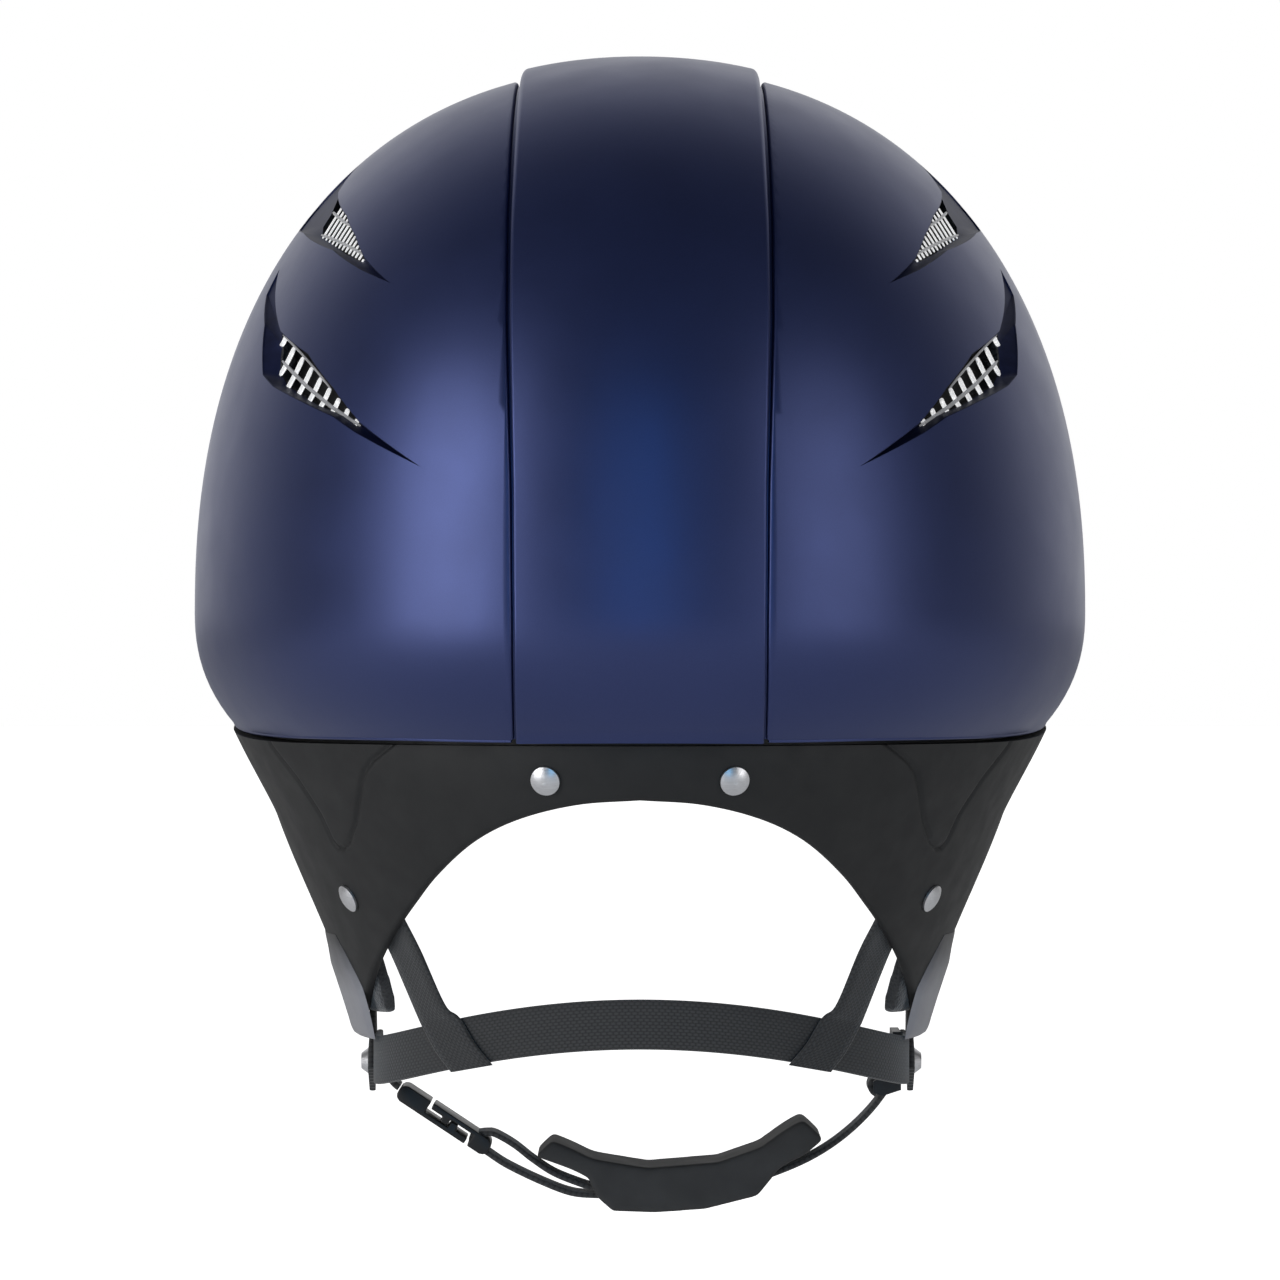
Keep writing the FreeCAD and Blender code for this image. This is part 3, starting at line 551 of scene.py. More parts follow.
def cut_hole(bm, vent):
    """Cuts the vent's outline out of the skin, edge by edge."""
    ring = vent.flat(vent.top)
    low, high = ring.min(0) - 4, ring.max(0) + 4
    middles = np.array([face.calc_center_median() for face in bm.faces])
    spots = vent.flat(middles)
    close = ((spots > low) & (spots < high)).all(-1) & ((middles - vent.centre) @ vent.out > -25)
    region = {face for face, hit in zip(bm.faces, close) if hit}
    first, second = Vector(vent.axes[0]), Vector(vent.axes[1])
    centre = Vector(vent.centre)
    for (x0, y0), (x1, y1) in zip(ring, np.roll(ring, -1, axis=0)):
        length = math.hypot(x1 - x0, y1 - y0)
        along = (first * (x1 - x0) + second * (y1 - y0)) / length
        across = (second * (x1 - x0) - first * (y1 - y0)) / length
        start = centre + first * x0 + second * y0
        hit = []
        for face in region:
            off = [across.dot(vert.co - start) for vert in face.verts]
            if min(off) < 1e-5 and max(off) > -1e-5:
                share = [along.dot(vert.co - start) for vert in face.verts]
                if max(share) > -0.6 and min(share) < length + 0.6:
                    hit.append(face)
        geometry = set(hit) | {e for f in hit for e in f.edges} | {v for f in hit for v in f.verts}
        cut = bmesh.ops.bisect_plane(bm, geom=list(geometry), dist=1e-4, plane_co=start, plane_no=across)
        region.update(part for part in cut["geom"] if isinstance(part, bmesh.types.BMFace))
    faces = list(region)
    middles = vent.flat([face.calc_center_median() for face in faces])
    gone = [face for face, hit in zip(faces, inside_ring(middles, ring)) if hit]
    bmesh.ops.delete(bm, geom=gone, context="FACES")


def scoop(parts, shadow_backs, vent):
    """Walls from the recess outline down to the mesh, and behind it a near-black box, a painted shadow."""
    normal = form_normal(vent.top)
    tangent = unit(np.roll(vent.top, -1, axis=0) - np.roll(vent.top, 1, axis=0))
    inward = unit(np.cross(normal, tangent))
    middle = vent.floor.mean(0)
    toward = ((middle - vent.top) * inward).sum(-1, keepdims=True)
    inward = np.where(toward.sum() < 0, -inward, inward)
    rows = [vent.top - inward * 0.15 - normal * 0.05]
    for arm in np.radians([25, 50, 75, 90]):
        over, down = 0.35 * math.sin(arm) - 0.1, 0.4 * (1 - math.cos(arm)) + 0.03
        rows.append(vent.top + inward * over - normal * down)
    start = rows[-1]
    rows += [lerp(start, vent.floor, share) for share in (0.15, 0.4, 0.7, 1.0)]
    corner = vent.top[0]
    flip = np.dot(np.cross(vent.top[1] - corner, vent.floor[0] - corner), middle - corner) < 0
    parts.grid(np.stack(rows), closed=True, flip=not flip)
    behind = vent.floor - vent.out * 5
    shadow_backs.grid(np.stack([vent.floor, behind]), closed=True)
    fan = [behind.mean(0)] + list(behind)
    count = len(behind)
    shadow_backs.mesh(fan, [(0, 1 + step, 1 + (step + 1) % count) for step in range(count)])


VENTS = {"upper": Vent(UPPER), "lower": Vent(LOWER), "front": Vent(LOWER, forward=True)}


def shell_skin():
    """Left half of the shell's outer skin, with its vents, seam edge and rim."""
    turns = np.linspace(0, 180, 181)
    lift, edge_x = 1.2, -SEAM_X - 0.7
    foot = np.zeros_like(turns)
    for _ in range(8):
        foot = rim_height(on_form(turns, foot)[:, 1]) + lift
    rows = [on_form(turns, lerp(foot, WIDEST, share)) for share in np.linspace(0, 1, 13)[:-1]]
    for climb in np.radians(np.linspace(0, 81, 64)):
        z = WIDEST + (TOP - WIDEST) * math.sin(climb) ** (2 / POWER)
        rows.append(on_form(turns, np.full_like(turns, z)))
    bm = bmesh.new()
    verts = [[bm.verts.new(p) for p in row] for row in np.stack(rows)]
    for low, high in zip(verts, verts[1:]):
        for step in range(len(low) - 1):
            bm.faces.new((low[step + 1], low[step], high[step], high[step + 1]))
    everything = list(bm.verts) + list(bm.edges) + list(bm.faces)
    bmesh.ops.bisect_plane(bm, geom=everything, dist=1e-4, plane_co=(edge_x, 0, 0), plane_no=(1, 0, 0),
                           clear_outer=True)
    open_edges = [e for e in bm.edges if e.is_boundary]
    rim = [e for e in open_edges if all(abs(v.co.z - rim_height(v.co.y) - lift) < 0.3 for v in e.verts)]
    seam = [e for e in open_edges if all(abs(v.co.x - edge_x) < 1e-3 for v in e.verts)]
    roll_edge(bm, seam, Vector((1, 0, 0)), 0.6, 2.2)
    roll_edge(bm, rim, Vector((0, 0, -1)), lift, 2.6, 14)
    for vent in VENTS.values():
        cut_hole(bm, vent)
    bm.verts.index_update()
    verts = np.array([v.co for v in bm.verts])
    faces = [[v.index for v in f.verts] for f in bm.faces]
    bm.free()
    return verts, faces


def roll_edge(bm, edges, ahead, radius, wall, return_up=0):
    """Rounds an open edge over and turns it inward through the wall."""
    bases = {v: (Vector(v.co), Vector(form_normal(np.array(v.co)[None])[0])) for e in edges for v in e.verts}
    arms = np.radians([22, 45, 68, 90])
    steps = [(radius * math.sin(arm), radius * (1 - math.cos(arm)), 0) for arm in arms]
    steps.append((radius, wall, 0))
    if return_up:
        steps.append((radius, wall + 0.4, return_up))
    current, origin = edges, {v: v for v in bases}
    for reach, depth, back in steps:
        made = bmesh.ops.extrude_edge_only(bm, edges=current)["geom"]
        roots = {tuple(round(c, 5) for c in old.co): root for old, root in origin.items()}
        fresh = [part for part in made if isinstance(part, bmesh.types.BMVert)]
        origin = {vert: roots[tuple(round(c, 5) for c in vert.co)] for vert in fresh}
        for vert, root in origin.items():
            base, normal = bases[root]
            vert.co = base + ahead * (reach - back) - normal * depth
        current = [part for part in made if isinstance(part, bmesh.types.BMEdge)
                   and all(v in origin for v in part.verts)]


def both_sides(parts):
    """Vertices and faces of the left half and its mirror image."""
    whole, points = Parts(), np.array(parts.verts)
    whole.mesh(points, parts.faces)
    whole.mesh(points * [-1, 1, 1], parts.faces, flip=True)
    return np.array(whole.verts), whole.faces


def build_shell():
    left, scoops, shadow_backs = Parts(), Parts(), Parts()
    left.mesh(*shell_skin())
    for vent in VENTS.values():
        scoop(scoops, shadow_backs, vent)
    skin, faces = both_sides(left)
    make("outer_shell_skin", bow_seam(skin), faces, NAVY, "helmet", "shell_navy", ["outer_shell"], sharp=32)
    make("vent_scoops", *both_sides(scoops), SHADED_RECESS, "helmet", "shell_navy", sharp=32)
    make("vent_shadow_boxes", *both_sides(shadow_backs), VENT_SHADOW, "helmet", "foam")


def form_reach(x, climb, top):
    """Distance from the axis at height WIDEST to the form, at x and an angle above the rear."""
    shape = np.broadcast(x, climb).shape
    low, high = np.zeros(shape), np.full(shape, 200.0)
    for _ in range(40):
        reach = (low + high) / 2
        flat = np.hypot(x, reach * np.cos(climb) / RATIO) / HALF_WIDTH
        rise = reach * np.sin(climb) / (top - WIDEST)
        outside = flat**POWER + rise**POWER > 1
        high, low = np.where(outside, reach, high), np.where(outside, low, reach)
    return (low + high) / 2


def build_panel():
    """Raised centre strip, with a rounded step at its edges that fades towards the rim."""
    edge = SEAM_X - 0.35
    across = np.concatenate([np.sin(np.radians(np.linspace(0, 90, 9))), np.linspace(1, 13.4, 15)[1:]])
    levels = [("rear", share) for share in np.linspace(0, 1, 11)[:-1]]
    levels += [("top", climb) for climb in np.radians(np.linspace(0, 180, 161))]
    levels += [("front", share) for share in np.linspace(1, 0, 9)[1:]]
    grid = []
    for kind, value in levels:
        lift = abs(math.sin(value)) ** 1.5 if kind == "top" else 0.0
        width, drop = 0.75 + 1.55 * lift, 0.6 + 2.7 * lift
        places = np.where(across <= 1, across * width, width + (across - 1) / 12.4 * (edge - width))
        x = np.concatenate([places - edge, -(places - edge)[::-1][1:]])
        sink = np.where(across <= 1, drop * (1 - np.sqrt(np.maximum(1 - (1 - across) ** 2, 0))), 0)
        sink = np.concatenate([sink, sink[::-1][1:]])
        if kind == "top":
            reach = form_reach(x, value if value <= math.pi / 2 else math.pi - value, PANEL_TOP)
            points = np.stack([x, -reach * math.cos(value), WIDEST + reach * math.sin(value)], -1)
        else:
            sign = -1 if kind == "rear" else 1
            foot = np.zeros_like(x)
            for _ in range(8):
                radius = form_radius(foot)
                foot = rim_height(sign * RATIO * np.sqrt(radius**2 - x**2)) + 0.6
            z = lerp(foot, WIDEST, value)
            points = np.stack([x, sign * RATIO * np.sqrt(form_radius(z) ** 2 - x**2), z], -1)
        normal = form_normal(points, PANEL_TOP)
        grid.append(points - normal * sink[:, None])
    grid = np.stack(grid)
    normal = form_normal(grid, PANEL_TOP)
    below = [grid[:, i] - normal[:, i] * 0.9 for i in (0, -1)]
    under = [row - normal[:, i] * 0.1 + [side * 1.1, 0, 0] for row, i, side in zip(below, (0, -1), (-1, 1))]
    left, right = np.stack([under[0], below[0]], 1), np.stack([below[1], under[1]], 1)
    grid = np.concatenate([left, grid, right], axis=1)
    down = np.array([0, 0, -1.0])
    for index in (0, -1):
        row = grid[index]
        normal_row = form_normal(row, PANEL_TOP)
        turned = [row + down * 0.4 - normal_row * 0.15, row + down * 0.6 - normal_row * 0.6,
                  row + down * 0.6 - normal_row * 2.2]
        grid = np.concatenate([np.stack(turned[::-1]), grid] if index == 0 else [grid, np.stack(turned)])
    parts = Parts()
    parts.grid(bow_seam(grid))
    make("crown_panel_skin", parts.verts, parts.faces, NAVY, "helmet", "shell_navy", ["crown_panel"],
         sharp=40)


# ---- vent grilles ------------------------------------------------------------------------------


def bar_between(parts, start, end, wide, deep, plane, bow=0.0):
    """A rounded bar in the mesh's plane from one (x, z) to another, standing deep above it."""
    start, end = np.array(start, float), np.array(end, float)
    along = unit(end - start)
    side = np.array([-along[1], along[0]])
    section = [(-0.5, 0), (-0.46, 0.7), (-0.28, 1), (0.28, 1), (0.46, 0.7), (0.5, 0)]
    tapers = {0: 0.45, 0.04: 0.85, 0.15: 1, 0.35: 1, 0.65: 1, 0.85: 1, 0.96: 0.85, 1: 0.45}
    rows = []
    for share, taper in tapers.items():
        middle = lerp(start, end, share) + side * bow * math.sin(math.pi * share)
        row = []
        for across, height in section:
            x, z = middle + side * across * wide * taper
            row.append((x, plane_depth(plane, x, z) - height * deep * (0.4 + 0.6 * taper), z))
        rows.append(row)
    parts.grid(rows)
    parts.grid(rows, flip=True)


def lower_grille():
    """Bars across the long edge, cut in two rows by a curved rib, with a thin rail above."""
    parts, ribs, plane = Parts(), Parts(), LOWER["plane"]
    top_left, top_right = np.array([-89.0, 101.2]), np.array([-67.2, 77.0])
    low_left, low_right = np.array([-89.2, 88.4]), np.array([-69.0, 76.6])
    lean, count, left_edge = np.array([-0.5, -1.0]), 9, -89.6
    for step in range(count):
        share = (step + 0.1) / (count - 0.2)
        head = lerp(top_left, top_right, share) + [0.3, -0.3]
        drop = (1 - share) * 10.6 + 1.3
        reach = min(drop / 1.06, (head[0] - left_edge) / -lean[0])
        if reach > 1:
            bar_between(parts, head, head + lean * reach, 1.3, 0.9, plane, 0.15)
    rib_left, rib_right = lerp(top_left, low_left, 0.52), lerp(top_right, low_right, 0.3)
    bar_between(ribs, rib_left, rib_right, 1.0, 1.5, plane, -1.1)
    bar_between(ribs, top_left + [-0.2, 0.1], lerp(top_left, top_right, 0.6), 0.6, 1.3, plane, 0.35)
    return parts, ribs


def upper_grille():
    """Finer upright bars, with a rib near the top and a rail along the foot."""
    parts, ribs, plane = Parts(), Parts(), UPPER["plane"]
    top, right, left = np.array([-76.0, 137.8]), np.array([-67.9, 118.4]), np.array([-80.4, 126.8])
    lean, count = 0.55, 13
    fall = (right - top)[1] / (right - top)[0]
    for step in range(count):
        foot = lerp(left, right, (step + 0.4) / count) + [0, -0.6]
        climb = (top[1] - foot[1] + fall * (foot[0] - top[0])) / (1 - fall * lean)
        head = foot + np.array([lean, 1.0]) * climb
        bar_between(parts, foot, head, 0.62, 0.7, plane, 0.05)
    bar_between(ribs, lerp(left, top, 0.6), lerp(right, top, 0.52), 0.8, 1.2, plane, -0.3)
    bar_between(ribs, left + [0, 0.4], lerp(left, right, 0.97) + [0, 1.5], 0.8, 1.2, plane, 0.4)
    return parts, ribs


def build_grilles():
    """Six meshes, each as bright bars and greyer ribs."""
    for vent in VENTS:
        bars, ribs = upper_grille() if vent == "upper" else lower_grille()
        for stem, part, material in (("mesh", bars, MESH), ("mesh_rib", ribs, RIB)):
            points = np.array(part.verts)
            if vent == "front":
                points = Vent.ahead(points)
            for name, side in SIDES.items():
                stands_for = [f"vent_grille_{vent}_{name}"] if stem == "mesh" else ()
                make(f"{stem}_{vent}_{name}", points * [-side, 1, 1], part.faces, material, "helmet",
                     "mesh_silver", stands_for, sharp=50)


# ---- cradle ----------------------------------------------------------------------------------

CRADLE_TOP, CRADLE_WALL, CRADLE_TALL, TIP_Z = 6, 2.4, 83, -73
# Path of the moulded V groove on each side: turn from the rear and height.
GROOVE = [(63.4, -1.5), (63.6, 3), (63.4, -1.5), (60.0, -9.4), (57.7, -17.9), (56.5, -25.1), (55.6, -26.6),
          (53.9, -26.7), (51.4, -24.6), (48.5, -20.0), (46.3, -14.9), (44.5, -10.1), (43.2, -7.1),
          (41.5, -4.6), (38.5, -1.6), (35.5, 1.5)]


def cradle_level(z):
    """Half width and half length of the cradle's level at a height."""
    share = (CRADLE_TOP - np.asarray(z, float)) / CRADLE_TALL
    narrow = 2.49 * share**2 - 1.49 * share**3
    return 99 - 26 * narrow, 115 - 39 * narrow


def cradle_point(turn, z, inset=0.0):
    """Point at a turn from the rear, to the wearer's right when positive."""
    wide, long = cradle_level(z)
    angle = np.radians(turn)
    z = np.broadcast_to(z, np.broadcast(turn, z, inset).shape)
    return np.stack([(wide - inset) * np.sin(angle), -(long - inset) * np.cos(angle), z], -1)


# Lower edge of the cradle: turn from the rear and height.
EDGE = [(0, -13.6), (9, -14.7), (18, -18.2), (26, -23.8), (35, -33.0), (42, -40.8), (52.5, -51.3), (63, -61),
        (71, -68.5), (78, -73)]


def cradle_edge(turn):
    turns, heights = smooth_path(EDGE, 120).T
    return np.interp(np.abs(turn), turns, heights)


def cradle_flare(turn, z):
    """At its sides the cradle spreads under the shell's rim."""
    aside = np.clip((np.abs(turn) - 22) / 48, 0, 1)
    rise = np.clip((np.asarray(z, float) + 20) / 23, 0, 1)
    return 6.6 * ease(aside) * rise**1.4


def front_turn(z):
    """Turn of the cradle's front edge, which leans forward from the tip to the shell."""
    ahead = 6 + (np.asarray(z, float) - TIP_Z) * 42 / 93
    return np.degrees(np.arccos(-ahead / cradle_level(z)[1]))


def groove_depth(turn, z):
    """Depth of the moulded groove, from the distance to its path."""
    best, turn = np.full(np.shape(turn), 99.0), np.abs(turn)
    scale = math.radians(1) * 96
    for (t0, z0), (t1, z1) in zip(GROOVE, GROOVE[1:]):
        ax, ay = (turn - t0) * scale, z - z0
        bx, by = (t1 - t0) * scale, z1 - z0
        share = np.clip((ax * bx + ay * by) / max(bx * bx + by * by, 1e-9), 0, 1)
        best = np.minimum(best, np.hypot(ax - bx * share, ay - by * share))
    return 0.75 * np.exp(-((best / 0.62) ** 2))


def build_cradle():
    """The moulded skirt: outer face with its grooves, rounded lower edge and inner face."""
    stretches = ((0, 36, 26, False), (36, 66, 105, False), (66, 111, 34, True))
    half = np.concatenate([np.linspace(*ends, count)[:None if last else -1]
                           for *ends, count, last in stretches])
    share = np.concatenate([-half[::-1][:-1], half]) / half[-1]
    foot = np.full_like(share, -40.0)
    for _ in range(60):
        foot = lerp(foot, cradle_edge(share * front_turn(foot)), 0.5)
    rim = np.full_like(share, 0.0)
    for _ in range(5):
        rim = rim_height(cradle_point(share * front_turn(rim), rim)[:, 1])
    rim = np.minimum(rim, CRADLE_TOP - 1.5) - 0.5
    rows = [cradle_point(share * front_turn(CRADLE_TOP), CRADLE_TOP, 1.2),
            cradle_point(share * front_turn(rim), rim + 0.2, 1.2)]
    for step in np.linspace(0, 1, 112):
        z = lerp(rim, foot + 0.9, step)
        turn = share * front_turn(z)
        rows.append(cradle_point(turn, z, groove_depth(turn, z) - cradle_flare(turn, z)))
    last = share * front_turn(foot)
    for arm in np.radians([25, 50, 75, 90]):
        rows.append(cradle_point(last, foot + 0.9 - 0.9 * math.sin(arm), 0.9 * (1 - math.cos(arm))))
    count = len(rows)
    for arm in np.radians([90, 60, 30, 0]):
        inset = CRADLE_WALL - 0.7 * (1 - math.cos(arm))
        rows.append(cradle_point(last, foot + 0.7 - 0.7 * math.sin(arm), inset))
    for step in np.linspace(0, 1, 30)[1:]:
        z = lerp(foot + 0.7, CRADLE_TOP, step)
        rows.append(cradle_point(share * front_turn(z), z, CRADLE_WALL))
    parts = Parts()
    grid = np.stack(rows)
    parts.grid(grid, flip=True)
    outer, inner = grid[:count], grid[count:]
    for column in (0, -1):
        pairs = np.linspace(0, len(inner) - 1, len(outer)).astype(int)[::-1]
        strip = np.stack([outer[:, column], inner[pairs, column]], 1)
        parts.grid(strip, flip=column == 0)
    make("nape_cradle_moulding", parts.verts, parts.faces, CRADLE, "helmet", "cradle_black", ["nape_cradle"],
         sharp=50)


def ear_cap_grid(side, lift):
    """Rows across an ear cover from its top to its foot, each point raised by lift(u, v)."""
    rows = []
    for v in np.linspace(-1, 1, 41):
        z = lerp(-50, -76.5, (v + 1) / 2)
        first, last = 67 + 5 * max(0, -v), float(front_turn(max(z, TIP_Z)))
        rows.append([cradle_point(side * lerp(first, last, (u + 1) / 2), z, -lift(u, v))
                     for u in np.linspace(-1, 1, 33)])
    return np.array(rows)


def ear_cap_lift(u, v):
    """A dome with a rounded rim, and a soft ridge down its middle."""
    dome = (1 - abs(u) ** 6) ** 0.5 * (1 - max(v, 0) ** 8) ** 0.5 * min(1, (v + 1) * 1.6) ** 0.8
    ridge = 0.35 * math.exp(-(((u - 0.2 + 0.25 * v) / 0.16) ** 2)) * max(0, 1 - v * v)
    return 0.1 + 1.5 * dome + ridge


def build_ear_covers():
    """A cap over each cradle tip."""
    for name, side in SIDES.items():
        outer, inner = ear_cap_grid(side, ear_cap_lift), ear_cap_grid(side, lambda u, v: 0)
        parts, flip = Parts(), side > 0
        parts.grid(outer, flip=flip)
        parts.grid(inner, flip=not flip)
        for edge in ((0,), (-1,), (slice(None), 0), (slice(None), -1)):
            parts.grid(np.stack([outer[edge], inner[edge]]))
        make(f"ear_cap_{name}", parts.verts, parts.faces, EAR, "helmet", "ear_grey", [f"ear_cover_{name}"],
             sharp=60)


# ---- webbing -----------------------------------------------------------------------------------

WEB_WIDE, WEB_THICK, CHIN_THICK, STUD_Z, BAND_Z = 12.4, 1.6, 1.3, -84, -82.5


def webbing(name, stations, thickness, body, stands_for):
    """Webbing through stations of (centre, outward, across[, width]), with rounded selvedges."""
    flat = [-0.5, -0.495, -0.47, -0.25, 0, 0.25, 0.47, 0.495, 0.5]
    rise = [0, 0.3, 0.5, 0.5, 0.5, 0.5, 0.5, 0.3, 0]
    section = list(zip(flat, rise)) + [(a, -b) for a, b in list(zip(flat, rise))[-2:0:-1]]
    rows, uv, travelled, before = [], [], 0.0, None
    for station in stations:
        centre, outward, across = (np.array(part, float) for part in station[:3])
        wide = station[3] if len(station) > 3 else WEB_WIDE
        if before is not None:
            travelled += np.linalg.norm(centre - before)
        before = centre
        rows.append([centre + across * a * wide + outward * b * thickness for a, b in section])
        uv += [(travelled, a * wide) for a, _ in section]
    parts = Parts()
    parts.grid(np.array(rows), closed=True)
    count, total = len(section), len(parts.verts)
    parts.faces.append(tuple(range(count))[::-1])
    parts.faces.append(tuple(range(total - count, total)))
    piece = make(name, parts.verts, parts.faces, WEBBING, uv=uv, sharp=60)
    face_outward(piece.data)
    piece.data.set_sharp_from_angle(angle=math.radians(60))
    enter(piece, body, stands_for)


def layer(side, index):
    """Middle of a layer's thickness at a stud, from the middle plane outward."""
    first, wall = (65, WEB_THICK) if side < 0 else (65.1, 2.2)
    walls = [wall, WEB_THICK, WEB_THICK]
    return first + sum(walls[:index]) + 0.2 * index + walls[index] / 2


def band_station(turn):
    """Centre and outward direction of the nape band at a turn from the rear."""
    angle = math.radians(turn)
    side = -1 if turn < 0 else 1
    reach = layer(side, 1)
    z = BAND_Z + 12.7 * math.cos(angle) ** 2
    centre = np.array([reach * math.sin(abs(angle)) * side, -14 - 60 * math.cos(angle), z])
    outward = unit([side * math.sin(abs(angle)) * 60, -math.cos(angle) * reach, 0])
    return centre, outward


def build_nape_band():
    """From stud to stud behind the neck, straight over its last stretch on each side."""
    up, ends = (0, 0, 1.0), (6, 2, -4, -9)
    stations = [((-layer(-1, 1), y, BAND_Z), (-1.0, 0, 0), up) for y in ends]
    stations += [(*band_station(turn), up) for turn in np.linspace(-89.9, 89.9, 91)]
    stations += [((layer(1, 1), y, BAND_Z), (1.0, 0, 0), up) for y in ends[::-1]]
    webbing("nape_band_webbing", stations, WEB_THICK, "helmet", ["nape_band"])


def build_front_straps():
    """Each runs straight up from its stud into the front of the shell."""
    for name, side in SIDES.items():
        middle = side * layer(side, 2)
        foot, head = np.array([middle, 0, STUD_Z]), np.array([side * 74, 59, 5.0])
        along = unit(head - foot)
        knee = foot + along * 12
        knee[0] = middle
        across = unit([0, along[2], -along[1]])
        start = np.array([middle, -3, STUD_Z - 4.6])
        path = smooth_path([start, foot, knee, lerp(knee, head, 0.35), lerp(knee, head, 0.7), head], 40)
        stations = [(centre, (side, 0, 0), across) for centre in path]
        webbing(f"front_webbing_{name}", stations, WEB_THICK, "helmet", [f"front_strap_{name}"])


# Height, turns of the two edges and extra inset of a rear strap where it runs inside the cradle.
STRAP_ROWS = [(-34, (58.3, 49.0), 0.1), (-45, (56.6, 47.2), 0.2), (-53, (55.2, 45.8), 0.5)]
# Turns of its two edges and height above the band's middle where it lies on the nape band.
SEWN_ROWS = [((51.6, 40.4), 6.0), ((47.2, 36.3), -1.0), ((42.6, 31.9), -7.0)]


def build_rear_straps():
    """Each comes from inside the cradle, flares, and is sewn flat on the nape band."""
    inset, lift = CRADLE_WALL + 0.2 + WEB_THICK / 2, WEB_THICK + 0.25
    for name, side in SIDES.items():
        edges = [[cradle_point(side * turn, z, inset + inward) for turn in turns]
                 for z, turns, inward in STRAP_ROWS]
        for turns, height in SEWN_ROWS:
            spots = [band_station(side * turn) for turn in turns]
            edges.append([centre + outward * lift + [0, 0, height] for centre, outward in spots])
        neck = lerp(np.array(edges[2]), np.array(edges[3]), 0.8)
        neck[1] += np.array([side * 1.8, 0, 0])
        edges.insert(3, neck)
        left, right = (smooth_path([edge[index] for edge in edges], 48) for index in (0, 1))
        stations = []
        for a, b, run in zip(left, right, np.gradient((left + right) / 2, axis=0)):
            across = unit(b - a)
            outward = unit(np.cross(across, run))
            if np.dot(outward, (a + b) / 2 * [1, 1, 0]) < 0:
                outward = -outward
            stations.append(((a + b) / 2, outward, across, float(np.linalg.norm(b - a))))
        webbing(f"rear_webbing_{name}", stations, 1.3, "helmet", [f"rear_strap_{name}"])
        stitch_rows(name, left, right)


def stitch_rows(name, left, right):
    """Two rows of lockstitch that hold a rear strap on the nape band."""
    parts = Parts()
    length, pitch, wide, high = 1.35, 2.1, 0.2, 0.16
    sizes = {0: 0.3, 0.2: 1, 0.5: 1.15, 0.8: 1, 1: 0.3}
    for row in (0.13, 0.87):
        line = lerp(left, right, row)[-17:-1]
        runs = np.linalg.norm(np.diff(line, axis=0), axis=1)
        travel = np.concatenate([[0], np.cumsum(runs)])
        for start in np.arange(0.6, travel[-1] - length, pitch):
            first, last = (np.array([np.interp(place, travel, line[:, axis]) for axis in range(3)])
                           for place in (start, start + length))
            outward = unit([first[0], first[1] + 14, 0])
            across = unit(np.cross(outward, unit(last - first)))
            rings = []
            for share, size in sizes.items():
                centre = lerp(first, last, share) + outward * 0.66
                aside, above = across * wide * size, outward * high * size
                rings.append([centre + aside * math.cos(t) + above * math.sin(t)
                              for t in np.radians([0, 60, 120, 180, 240, 300])])
            parts.grid(rings, closed=True)
    make(f"strap_stitching_{name}", parts.verts, parts.faces, THREAD, "helmet", "webbing_black", sharp=60)


def heading(degrees):
    """Unit vector in the XZ plane."""
    return np.array([math.cos(math.radians(degrees)), 0, math.sin(math.radians(degrees))])


BUCKLE_ANGLE, BUCKLE_MIDDLE = 33.5, np.array([-50.2, 0, -98.3])


def in_buckle(along, across):
    return BUCKLE_MIDDLE + heading(-BUCKLE_ANGLE) * along + heading(90 - BUCKLE_ANGLE) * across


def flat_strap(name, points, thickness, body, stands_for):
    """Webbing along a path in the XZ plane, its width along Y."""
    path = np.asarray(points, float)
    stations = [(centre, unit([-run[2], 0, run[0]]), (0, 1, 0))
                for centre, run in zip(path, np.gradient(path, axis=0))]
    webbing(name, stations, thickness, body, stands_for)


def build_chin_tab():
    """Down from the left stud and round a bend to the buckle."""
    middle, bend = -layer(-1, 0), 8
    points = [(middle, 0, STUD_Z + height) for height in np.linspace(5.5, 0, 8)]
    for arm in np.radians(np.linspace(0, 90 - BUCKLE_ANGLE, 16)[1:]):
        points.append((middle + bend * (1 - math.cos(arm)), 0, STUD_Z - bend * math.sin(arm)))
    flat_strap("chin_tab_webbing", points, WEB_THICK, "chin_tab_body", ["chin_tab_left"])


ARC_CENTRE, SLIDE_BAR = np.array([4.7, 0, -30.1]), np.array([61.7, 0, -90.3])


def arc_point(turn, radius):
    """Point on the chin strap's round stretch, at a turn from straight down."""
    return ARC_CENTRE + heading(turn - 90) * radius


def hermite(start, start_pull, end, end_pull, share):
    """Point on a cubic with a given pull at each end."""
    s2, s3 = share**2, share**3
    return (start * (2 * s3 - 3 * s2 + 1) + start_pull * (s3 - 2 * s2 + share)
            + end * (-2 * s3 + 3 * s2) + end_pull * (s3 - s2))


# The strap's two strands where they leave the buckle, as (x, z).
TAIL_STRAND = [(-10.2, -118.6), (-17.5, -118.0), (-25.2, -115.2), (-34.2, -110.9), (-39.3, -107.6),
               (-42.6, -105.4), (-43.6, -103.9), (-42.4, -102.9)]
UPPER_STRAND = [(-39.6, -102.5), (-37.2, -102.9), (-32.5, -105.6), (-27.6, -109.4), (-22.0, -113.0),
                (-14.6, -115.9)]


